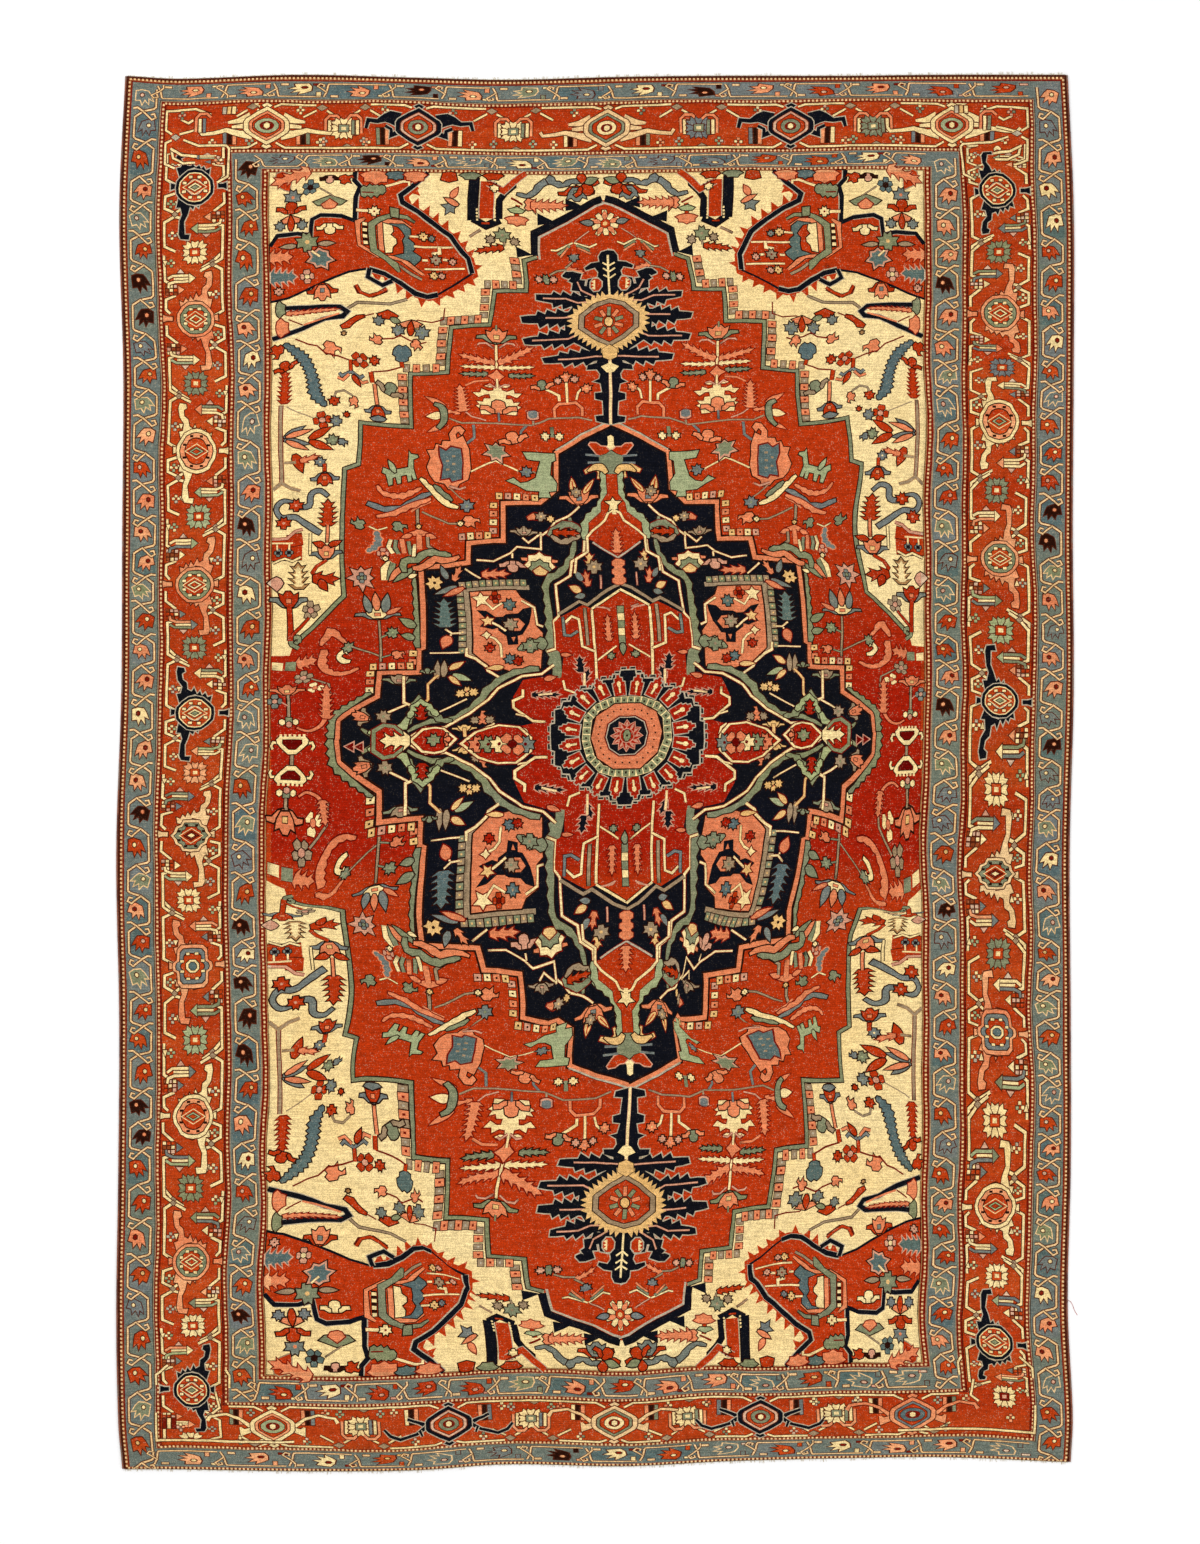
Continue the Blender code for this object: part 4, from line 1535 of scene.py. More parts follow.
# The run of the main side borders up the rug and of the end borders to either side, and the
# part of a side repeat that keeps its height, out of the height that it is drawn with.
SIDE_FOOT, SIDE_HEAD = -670, 628
END_REACH = 402
PALMETTE_HALF, UNIT_HALF = 20, 66


def side_border(edge, seed):
    """The main border along one long side. Each repeat is drawn out to half the way to the
    next palmette, and every other one is flipped over."""
    draw = random.Random(seed)
    rows = SIDE_PALMETTES[edge]
    turn = 1 if edge == "left" else -1
    rings = []
    for k, (up, kind, flower) in enumerate(rows):
        above = (rows[k - 1][0] - up) / 2 if k else SIDE_HEAD - 1 - up
        below = (up - rows[k + 1][0]) / 2 if k + 1 < len(rows) else 52
        if edge == "right":
            above, below = below, above
        unit = put(side_unit(kind, flower, draw), flip=(k % 2 == 0) == (edge == "left"))
        for ring, wool in unit:
            x, y = ring.T
            reach = np.where(y > 0, above, below)
            near = np.minimum(abs(y), PALMETTE_HALF)
            far = (abs(y) - near) * (reach - PALMETTE_HALF) / (UNIT_HALF - PALMETTE_HALF)
            y = up + turn * np.sign(y) * (near + far)
            if SIDE_FOOT + 2 < y.mean() < SIDE_HEAD - 6:
                placed = np.stack((x, np.clip(y, SIDE_FOOT, SIDE_HEAD)), axis=1)
                rings += on_edge([(placed, wool)], edge, 3)
    return rings


END_PALMETTES = {
    # across the rug, palmette, the open flower to its right
    "head": ((-329, "cream", "cream"), (-177, "navy", "cream"), (11, "teal", "slate"),
             (195, "navy", "green"), (356, "cream", "cream")),
    "foot": ((-320, "cream", "cream"), (-146, "navy", "cream"), (19, "teal", "cream"),
             (164, "navy", "cream"), (314, "rose", "cream")),
}
END_BODY = places("0 -19 -9 -14 -20 -7 -22 -4 -22 4 -20 7 -9 14 0 19 9 14 20 7 22 4 22 -4 20 -7 9 -14")
# The arms of an end palmette: a line with a width at each of its points.
END_ARMS = {
    ("head", "dark"): (
        (places("18 6 28 9 34 8 41 5 51 6 53 -2"), (14, 12, 8, 4, 4, 3)),
        (places("18 -5 27 -9 27 -3 33 0"), (6, 4, 3, 3)),
    ),
    ("head", "pale"): (
        (places("16 9 28 5 38 4"), (9, 5, 2.4)),
        (((20, 0), (34, -1)), (5, 2.6)),
        (places("14 -9 26 -8 40 -4 52 -6 64 -7 67 -3"), (10, 6, 4, 3.4, 2.8, 3)),
    ),
    ("foot", "dark"): (
        (places("21 0 30 -4 40 -8"), (5, 3, 2.6)),
        (places("21 1 31 8 48 13 58 9 64 2"), (4, 3, 3, 3, 2.4)),
        (((28, 5), (26, 11)), (2.6, 2)),
    ),
    ("foot", "pale"): (
        (places("22 0 32 -8 46 -13 62 -10 65 -5"), (4, 2.8, 2.2, 2.6, 4)),
        (places("20 3 30 7 32 1"), (5, 6, 2)),
    ),
}


def end_palmette(kind):
    """The six-sided palmette of the end borders."""
    outline, rim_wool, ring, pale, heart = PALMETTE_WOOLS[kind]
    rings = []
    for side in (-1, 1):
        legs = ((0, side * 16), (-5, side * 20.5), (0, side * 23), (5, side * 20.5))
        rings += patch(legs, outline, rim_wool, 0.9)
    rings += patch(END_BODY, outline, rim_wool, 1.0)
    for size, wool in ((0.82, "umber"), (0.77, "pink" if kind == "navy" else ring),
                       (0.66, "umber"), (0.61, "red")):
        rings.append((END_BODY * size, wool))
    oval = disc(9.5, 12) * (1.25 if kind in ("cream", "rose") else 1.0, 0.75)
    rings += chip(oval, pale if kind == "cream" else heart)
    rings += patch(oval * 0.62, "deep")
    return rings + chip(disc(3.0, 6), "cream", 0.7)


def bars(x, y, wools, height=16):
    """Three upright bars side by side."""
    rings = []
    for k, wool in enumerate(wools):
        rings += chip(box(3.4, height) + (x + 4.8 * k, y), wool)
    return rings


def end_border(edge, seed):
    """The main border across one end, its chart's x along the border and y outwards."""
    draw = random.Random(seed)
    rows = END_PALMETTES[edge]
    stops = (-END_REACH,) + tuple(row[0] for row in rows) + (END_REACH,)
    chart = []
    for k, (across, kind, flower) in enumerate(rows):
        outline, rim_wool = PALMETTE_WOOLS[kind][:2]
        arms = END_ARMS[edge, "dark" if kind == "navy" else "pale"]
        for side in (-1, 1):
            half = abs(stops[k + 1 + side] - across) / 2
            part = cord(((7, 19), (14, 21.5), (half - 28, 21.5)), "cream")
            part += cord(((9, -17), (18, -21.5), (half + 2, -21.5)), "cream")
            part += put(diamond(11, 6, "greige"), half - 22, 19)
            part += cord(((half - 27, 16), (half - 40, 9)), "cream", 1.8)
            part += cord(((half - 17, 16), (half - 7, 10)), "cream", 1.8)
            part += bars(31, -10, ("salmon", "brown", draw.choice(("slate", "green", "cream"))))
            part += put(sprig(draw, ("cream", "pink", "green")), 33, 16)
            part += put(sprig(draw, ("grey", "sage")), half - 20, -15)
            part += put(sprig(draw, ("salmon", "cream")), 53, -16)
            if half > 70:
                part += put(hook_leaf(draw), half - 11, 1)
            for line, widths in arms:
                part += stem(line, outline, np.array(widths), rim_wool, 0.9)
            chart += put([(r * (side, 1), w) for r, w in part], across, 0)
        chart += put(end_palmette(kind), across, 0)
        if k + 1 < len(rows):
            middle = (across + stops[k + 2]) / 2
            chart += put(petals(11.5, flower, "cream", "green", 1.2), middle, -2)
            chart += put(diamond(10, 5, "greige"), middle + 3, -20)
    lifted = [(ring[:, ::-1] * (-1, 1), wool) for ring, wool in chart]
    return on_edge(lifted, edge, 3, 45)


def hook_leaf(draw):
    """A small cane over two upright bars."""
    rings = cord(places("-7 -8 -7 6 -3 10 4 10 8 6"), "salmon", 2.4)
    for x, wool in ((-3, "cream"), (1.5, draw.choice(("green", "slate")))):
        rings += chip(box(2.8, 14) + (x, -2), wool)
    return rings


# The cream lines in the corners of the main border: over and right of the rug's middle.
HEAD_CORNER = (
    places("384 659 400 665 430 663 430 644 424 640"), places("416 640 400 644"),
    places("424 634 430 631 430 610 420 606"),
    places("412 634 396 628 368 627 365 624 367 597 378 591"),
    places("415 655 407 651 402 654"), places("424 626 422 616 412 611 400 611"),
)
FOOT_CORNER = (
    places("366 -596 362 -602 362 -614"), places("300 -668 436 -668 436 -640"),
    places("376 -618 372 -634 380 -640"), places("436 -612 436 -602 424 -592"),
)


def corner_marks():
    """The bends of the cream meander in the four corners of the main border, and the small
    things between them."""
    rings = []
    draw = random.Random(9)
    for side in (-1, 1):
        for line in HEAD_CORNER + FOOT_CORNER:
            rings += cord(line * (side, 1), "cream", 2.0)
        rings += put(diamond(9, 6, "grey"), side * 420, 637)
        rings += put(hook_leaf(draw), side * 392, 650)
        rings += put(sprig(draw, ("green", "pink")), side * 414, 659)
        rings += bars(side * 366 - 5, 662, ("grey", "gold", "cream"), 7)
        rings += cord(places("424 625 414 619 398 617") * (side, 1), "cream", 2.2)
        rings += put(sprig(draw), side * 376, 613) + put(sprig(draw), side * 412, -655)
    rings += put(petals(12, "cream", "pink", "deep"), 406, -634)
    return rings + bars(-428, -651, ("deep", "cream", "deep"), 10)


def borders():
    """All patches of the borders, from their grounds up."""
    rings = stripe_grounds()
    for k, edge in enumerate(("left", "right", "head", "foot")):
        rings += guard_stripe(edge, 1, 20 + k) + guard_stripe(edge, 5, 30 + k)
    rings += side_border("left", 41) + side_border("right", 42)
    return rings + end_border("head", 43) + end_border("foot", 44) + corner_marks()


# The weaver worked each quarter by eye. For each one (its side and its end): places on the
# chart, and how far the pattern about each is drawn across and up.
PULLS = {
    (1, 1): ((-300, 100, 0, -15),),
    (-1, 1): ((-110, 230, 6, 0), (-250, 220, 12, 0), (-300, 100, 0, -11)),
    (1, -1): ((-110, 250, 4, 21), (-142, 207, 6, 14), (-190, 184, -5, 8), (-255, 220, 6, 0),
              (-300, 100, 0, 40), (-222, 333, -10, -16), (-155, 415, -14, 12),
              (-114, 457, -17, 27), (-84, 493, -9, 20), (-66, 530, 0, 8)),
    (-1, -1): ((-110, 250, 35, 17), (-142, 207, 32, 22), (-190, 184, 14, 10),
               (-255, 220, 30, 0), (-300, 100, 0, 60), (-250, 310, 22, -9), (-192, 362, 4, -4),
               (-155, 415, 3, 14), (-114, 457, 3, 18), (-84, 493, 2, 15), (-66, 530, 0, 4)),
}
PULL_REACH = 38
LONGEST_SIDE = 12
# Where the chart's level middle line lies, how far its upright one lies to the right at
# heights up the rug, and the middle of the centre's rosette.
MIDDLE_UP = 34
DRIFT = places("-600 28 -438 30 -323 34 34 31 342 12 449 10 490 13 550 7 600 5")
ROSETTE_MIDDLE = (30.5, 35)


def drawn_by_hand(ring, pulls, phase):
    """A ring of the quarter's chart as one quarter shows it. Its sides are first cut to under
    12 knots. Then every point moves by the mean of the pulls, each weighed by a bell curve of
    its distance, and by a slow sine of its place. Points on the middle lines and the edges
    stay on them."""
    after = np.roll(ring, -1, axis=0) - ring
    count = np.maximum(np.ceil(np.linalg.norm(after, axis=1) / LONGEST_SIDE), 1).astype(int)
    index = np.repeat(np.arange(len(ring)), count)
    part = (np.arange(len(index)) - np.repeat(np.cumsum(count) - count, count)) / count[index]
    ring = ring[index] + after[index] * part[:, None]
    pulls = np.array(pulls, float)
    away = np.sum((ring[:, None] - pulls[None, :, :2]) ** 2, axis=2)
    weight = np.exp(-away / (2 * PULL_REACH**2))
    move = weight @ pulls[:, 2:] / np.maximum(weight.sum(axis=1), 1)[:, None]
    move += 1.8 * np.sin(ring[:, ::-1] / (27, 22) + (phase, 2 * phase))
    x, y = np.abs(ring.T)
    from_edge = [1 - np.minimum(way / half, 1) ** 8
                 for way, half in ((x, FIELD_ACROSS), (y, FIELD_UP))]
    from_middle = 1 - np.exp(-((np.abs(ring) / 40) ** 2))
    return ring + move * from_middle * np.stack(from_edge, axis=1)


def unfold(rings, side, end):
    """Patches of the field's chart laid on the rug. The weaver's middle line wanders and the
    medallion sits above the middle, so the lower half is drawn out."""
    placed = []
    for ring, wool in rings:
        x, y = (ring * (side, end)).T
        stretch = np.where(y > 0, FIELD_UP - MIDDLE_UP, FIELD_UP + MIDDLE_UP) / FIELD_UP
        up = MIDDLE_UP + y * stretch
        drift = np.interp(up, *DRIFT.T)
        across = x + drift * (1 - (x / FIELD_ACROSS) ** 2)
        placed.append((np.stack((across, up), axis=1), wool))
    return placed


def field():
    """All patches of the field, from its ground up."""
    rings = [(box(2 * FIELD_ACROSS, 2 * FIELD_UP), "red")]
    chart = quarter()
    for side in (1, -1):
        for end in (1, -1):
            phase = 1.3 * side + 2.1 * end
            by_hand = [(drawn_by_hand(ring, PULLS[side, end], phase), wool) for ring, wool in chart]
            rings += unfold(by_hand, side, end)
    for end in (1, -1):
        rings += unfold(from_chart(MEDALLION_TOP) + pendant(), 1, end)
    for side in (1, -1):
        rings += unfold(side_device(), side, 1)
    return rings + put(centre_rosette(), *ROSETTE_MIDDLE)


def rug_patches():
    """The whole cartoon in painter's order."""
    return borders() + field()


# The rug's surface.


def read_table(rows, column, at):
    """A column of a table at many places, on the smooth cubic through its rows. The slope at a
    row is that between its two neighbours."""
    rows = np.array(sorted(rows), float)
    place, value = rows[:, 0], rows[:, column]
    low = np.maximum(np.arange(len(rows)) - 1, 0)
    high = np.minimum(np.arange(len(rows)) + 1, len(rows) - 1)
    slope = (value[high] - value[low]) / (place[high] - place[low])
    at = np.clip(at, place[0], place[-1])
    i = np.clip(np.searchsorted(place, at) - 1, 0, len(rows) - 2)
    step = place[i + 1] - place[i]
    t = (at - place[i]) / step
    return (
        (2 * t**3 - 3 * t**2 + 1) * value[i]
        + (t**3 - 2 * t**2 + t) * step * slope[i]
        + (3 * t**2 - 2 * t**3) * value[i + 1]
        + (t**3 - t**2) * step * slope[i + 1]
    )


def on_rug(across, up, inset=0.0):
    """Places on the uneven rug in metres. across and up run from -1 to 1 from edge to edge,
    and inset draws the two long sides in by that many metres."""
    high, wide = up * HALF_UP, across * HALF_ACROSS
    left = read_table(SIDES, 1, high) * KNOT + inset
    right = read_table(SIDES, 2, high) * KNOT - inset
    top = read_table(ENDS, 1, wide) * KNOT
    bottom = read_table(ENDS, 2, wide) * KNOT
    x = left + (right - left) * (across + 1) / 2
    y = bottom + (top - bottom) * (up + 1) / 2
    return np.stack((x, y), axis=-1)


def waves(points, seed, count, shortest, longest):
    """A smooth uneven height from -1 to 1: the mean of sine waves in turned directions, with
    lengths between the shortest and the longest."""
    draw = np.random.default_rng(seed)
    turn = draw.uniform(0, math.tau, count)
    length = np.exp(draw.uniform(math.log(shortest), math.log(longest), count))
    phase = draw.uniform(0, math.tau, count)
    along = np.stack((np.cos(turn), np.sin(turn))) * math.tau / length
    return np.sin(points @ along + phase).mean(axis=1) * 1.6


def hand_woven(points):
    """The cartoon as the loom gave it. Each knot is moved by slow waves of up to 2 knots and
    quick ones of up to half a knot, and both die out towards the rug's edge."""
    room = np.minimum(HALF_ACROSS - abs(points[:, 0]), HALF_UP - abs(points[:, 1]))
    fade = np.clip(room / 24, 0, 1)[:, None]
    slow = np.stack([waves(points, seed, 9, 70, 260) for seed in (3, 4)], axis=1)
    quick = np.stack([waves(points, seed, 12, 9, 26) for seed in (5, 6)], axis=1)
    return points + fade * (2.0 * slow + 0.45 * quick)


def cut_plane(rings, spacing):
    """Points and triangles of the plane cut along closed outlines.
    Long edges are divided evenly until none is longer than the spacing, a grid of points at
    that spacing fills the space between, and a constrained Delaunay mesh joins them all."""
    start = np.concatenate(rings)
    sizes = np.array([len(ring) for ring in rings])
    ring_of = np.repeat(np.arange(len(rings)), sizes)
    heads = np.cumsum(sizes) - sizes
    after = np.arange(1, len(start) + 1)
    after[heads + sizes - 1] = heads
    reach = start[after] - start
    parts = np.maximum(np.ceil(np.hypot(*reach.T) / spacing), 1).astype(int)
    order = np.arange(parts.sum()) - np.repeat(np.cumsum(parts) - parts, parts)
    share = (order / np.repeat(parts, parts))[:, None]
    points = np.repeat(start, parts, axis=0) + np.repeat(reach, parts, axis=0) * share
    owner = np.repeat(ring_of, parts)
    first = np.searchsorted(owner, owner)
    after = np.arange(1, len(points) + 1)
    last = np.append(owner[1:] != owner[:-1], True)
    after[last] = first[last]
    edges = np.stack((np.arange(len(points)), after), axis=1)
    low, high = points.min(axis=0) + 1, points.max(axis=0) - 1
    columns = np.linspace(low[0], high[0], int((high[0] - low[0]) / spacing))
    lines = np.linspace(low[1], high[1], int((high[1] - low[1]) / spacing))
    grid = np.stack(np.meshgrid(columns, lines), axis=-1).reshape(-1, 2)
    points = np.concatenate((points, grid))
    cut = delaunay_2d_cdt(points.tolist(), edges.tolist(), [], 0, 1e-4, False)
    spots = np.array(cut[0])
    triangles = np.array(cut[2])
    a, b, c = spots[triangles].transpose(1, 0, 2)
    turn = (b - a)[:, 0] * (c - a)[:, 1] - (b - a)[:, 1] * (c - a)[:, 0]
    triangles[turn < 0] = triangles[turn < 0][:, ::-1]
    return spots, triangles


def inside(points, ring):
    """Which points a closed outline winds round: those for which the edges that pass on their
    right upwards and downwards don't cancel."""
    x, y = points.T
    (ax, ay), (bx, by) = ring.T[:, :, None], np.roll(ring, -1, axis=0).T[:, :, None]
    side = (bx - ax) * (y - ay) - (x - ax) * (by - ay)
    upward = (ay <= y) & (by > y) & (side > 0)
    downward = (ay > y) & (by <= y) & (side < 0)
    return upward.sum(axis=0) != downward.sum(axis=0)


def top_patch(points, rings):
    """For each point the number of the last outline that holds it."""
    order = np.argsort(points[:, 1])
    ordered = points[order]
    found = np.zeros(len(points), int)
    for number, ring in enumerate(rings):
        low, high = ring.min(axis=0), ring.max(axis=0)
        first, last = np.searchsorted(ordered[:, 1], (low[1], high[1]))
        near = slice(first, last)
        inner = (ordered[near, 0] > low[0]) & (ordered[near, 0] < high[0])
        candidates = np.nonzero(inner)[0] + first
        if len(candidates):
            found[candidates[inside(ordered[candidates], ring)]] = number
    result = np.empty(len(points), int)
    result[order] = found
    return result


def edge_depth(points):
    """How far points of the cartoon lie from the rug's nearest edge, in metres."""
    room = np.minimum(HALF_ACROSS - abs(points[:, 0]), HALF_UP - abs(points[:, 1]))
    return np.maximum(room, 0) * KNOT


def pile_height(points):
    """Height of the pile: a slightly uneven plane, rounded off as a quarter circle within
    EDGE_ROUND of the rug's edge."""
    depth = np.clip(edge_depth(points) / EDGE_ROUND, 0, 1)
    fall = EDGE_ROUND * (1 - np.sqrt(np.clip(1 - (1 - depth) ** 2, 0, 1)))
    return PILE_TOP - PILE_SWELL + PILE_SWELL * waves(points, 8, 10, 60, 180) - fall


def rim(triangles):
    """The edges that only one triangle has, running as that triangle runs, and its number."""
    edges = np.concatenate((triangles[:, :2], triangles[:, 1:], triangles[:, ::2][:, ::-1]))
    span = int(triangles.max()) + 1
    alone = ~np.isin(edges[:, 0] * span + edges[:, 1], edges[:, 1] * span + edges[:, 0])
    return edges[alone], np.nonzero(alone)[0] % len(triangles)


def lay_faces(name, points, faces, material):
    """A mesh object at the origin from arrays of places and of faces of one size."""
    mesh = bpy.data.meshes.new(name)
    mesh.vertices.add(len(points))
    mesh.vertices.foreach_set("co", np.asarray(points, np.float32).ravel())
    mesh.loops.add(faces.size)
    mesh.loops.foreach_set("vertex_index", faces.astype(np.int32).ravel())
    mesh.polygons.add(len(faces))
    mesh.polygons.foreach_set("loop_start", np.arange(len(faces)) * faces.shape[1])
    mesh.update(calc_edges=True)
    mesh.materials.append(material)
    obj = bpy.data.objects.new(name, mesh)
    bpy.context.scene.collection.objects.link(obj)
    return obj


def from_gamma(colour):
    """Display values made linear: c to the power 2.4 above the toe of the curve."""
    colour = np.asarray(colour, float)
    return np.where(colour > 0.04045, ((colour + 0.055) / 1.055) ** 2.4, colour / 12.92)


def dye(obj, wools, corners):
    """Gives every face its wool's colour and the shares of the dye baths, face by face."""
    chosen = bpy.context.scene.rug_wools
    names = list(WOOLS)
    shades = np.array([from_gamma(getattr(chosen, name)) for name in names])
    baths = np.array([[bath == WOOLS[name][1] for bath in DYE_BATHS] for name in names], float)
    for title, values in (("wool", shades), ("dye_bath", baths)):
        layer = obj.data.attributes.new(title, "FLOAT_COLOR", "CORNER")
        colours = np.ones((len(wools) * corners, 4), np.float32)
        colours[:, :3] = np.repeat(values[wools], corners, axis=0)
        layer.data.foreach_set("color", colours.ravel())


def facing_down(points, triangles):
    """The triangles turned so that all run clockwise seen from above."""
    a, b, c = points[triangles].transpose(1, 0, 2)
    turn = (b - a)[:, 0] * (c - a)[:, 1] - (b - a)[:, 1] * (c - a)[:, 0]
    return np.where((turn > 0)[:, None], triangles[:, ::-1], triangles)


def zone_of(points):
    """Which piece of the rug a point of the cartoon belongs to: 0 the outer stripes, 1 the wide
    border, 2 the inner stripes, 3 and 4 the left and right half of the field."""
    zone = np.zeros(len(points), int)
    for step, number in ((3, 1), (4, 2), (7, 3)):
        corners = stripe_line(step)
        held = np.all((points > corners.min(axis=0)) & (points < corners.max(axis=0)), axis=1)
        zone[held] = number
    return zone + ((zone == 3) & (points[:, 0] > 0))


def slab(name, points, triangles, wools, material, zone=None):
    """A closed slab of one part of the rug. Its triangles make the top, a wall of two
    triangles an edge goes down to its foot, and a Delaunay mesh of the rim closes it below.
    Without a zone it is the woven sheet under the pile, the same slab turned over: its
    pattern faces the floor and its plain side carries the pile."""
    used, triangles = np.unique(triangles, return_inverse=True)
    triangles = triangles.reshape(-1, 3)
    plan = points[used]
    edges, owners = rim(triangles)
    ends, far_edges = np.unique(edges, return_inverse=True)
    far_edges = far_edges.reshape(-1, 2)
    far_plan = plan[ends]
    cut = delaunay_2d_cdt(far_plan.tolist(), far_edges.tolist(), [], 0, 1e-6, True)
    if len(cut[0]) != len(far_plan):
        raise RuntimeError(name + ": the rim of this part crosses itself")
    under = np.array([found[0] for found in cut[3]])[np.array(cut[2])]
    if zone is not None:
        under = under[zone_of(far_plan[under].mean(axis=1)) == zone]
    under = facing_down(far_plan, under) + len(plan)
    (near_1, near_2), (far_1, far_2) = edges.T, far_edges.T + len(plan)
    wall = ((near_1, far_1, far_2), (near_1, far_2, near_2))
    faces = np.concatenate((triangles, *(np.stack(half, axis=1) for half in wall), under))
    flat = hand_woven(np.concatenate((plan, far_plan)))
    place = on_rug(flat[:, 0] / HALF_ACROSS, flat[:, 1] / HALF_UP, CORD_DIAMETER + SEAT_GAP)
    near_height = np.zeros(len(plan)) if zone is None else pile_height(plan)
    height = np.concatenate((near_height, np.full(len(far_plan), PILE_FOOT)))
    spots = np.concatenate((place, height[:, None]), axis=1)
    obj = lay_faces(name, spots, faces if zone is not None else faces[:, ::-1], material)
    spare = np.full(len(under), list(WOOLS).index("grey"))
    dye(obj, np.concatenate((wools, wools[owners], wools[owners], spare)), 3)
    return obj


# The finishes.


class Shader:
    """A material's node tree, built one node at a time."""

    def __init__(self, name, roughness, sheen=0.0, sheen_roughness=0.5, specular=0.3):
        self.material = bpy.data.materials.new(name)
        self.material.use_nodes = True
        self.tree = self.material.node_tree
        self.surface = self.tree.nodes["Principled BSDF"]
        self.surface.inputs["Roughness"].default_value = roughness
        self.surface.inputs["Specular IOR Level"].default_value = specular
        self.surface.inputs["Sheen Weight"].default_value = sheen
        self.surface.inputs["Sheen Roughness"].default_value = sheen_roughness

    def node(self, kind, *given, output=0, **settings):
        """Adds a node, feeds its inputs in order from numbers or other outputs, and gives one
        of its outputs back. A given None leaves its input alone."""
        node = self.tree.nodes.new("ShaderNode" + kind)
        for setting, value in settings.items():
            setattr(node, setting, value)
        for socket, value in zip([s for s in node.inputs if s.enabled], given):
            if isinstance(value, bpy.types.NodeSocket):
                self.tree.links.new(value, socket)
            elif value is not None:
                socket.default_value = value
        return node.outputs[output]

    def math(self, operation, *given):
        """Arithmetic on numbers or outputs."""
        return self.node("Math", *given, operation=operation)

    def times(self, first, second):
        """One number times the other."""
        return self.math("MULTIPLY", first, second)

    def scaled(self, value, gain, rise):
        """A number times its gain, and something added."""
        return self.math("MULTIPLY_ADD", value, gain, rise)

    def vector(self, operation, *given, output=0):
        """Arithmetic on places."""
        return self.node("VectorMath", *given, operation=operation, output=output)

    def mix(self, share, first, second, how="MIX"):
        """A colour between two others, or one laid on the other."""
        return self.node("Mix", share, first, second, data_type="RGBA", blend_type=how,
                         output=2)

    def tinted(self, colour, tint):
        """A colour multiplied by another or by a grey."""
        return self.mix(1.0, colour, tint, "MULTIPLY")

    def ramp(self, value, *stops):
        """A colour or grey read from stops of (place, grey)."""
        node = self.tree.nodes.new("ShaderNodeValToRGB")
        self.tree.links.new(value, node.inputs[0])
        points = node.color_ramp.elements
        while len(points) < len(stops):
            points.new(0.5)
        for point, (place, grey) in zip(points, stops):
            point.position = place
            point.color = (grey, grey, grey, 1)
        return node.outputs[0]

    def feed(self, socket, value):
        self.tree.links.new(value, self.surface.inputs[socket])

    def bump(self, height, distance, strength=1.0):
        """Tilts the surface's normal to a height in metres."""
        self.feed("Normal", self.node("Bump", strength, distance, height))


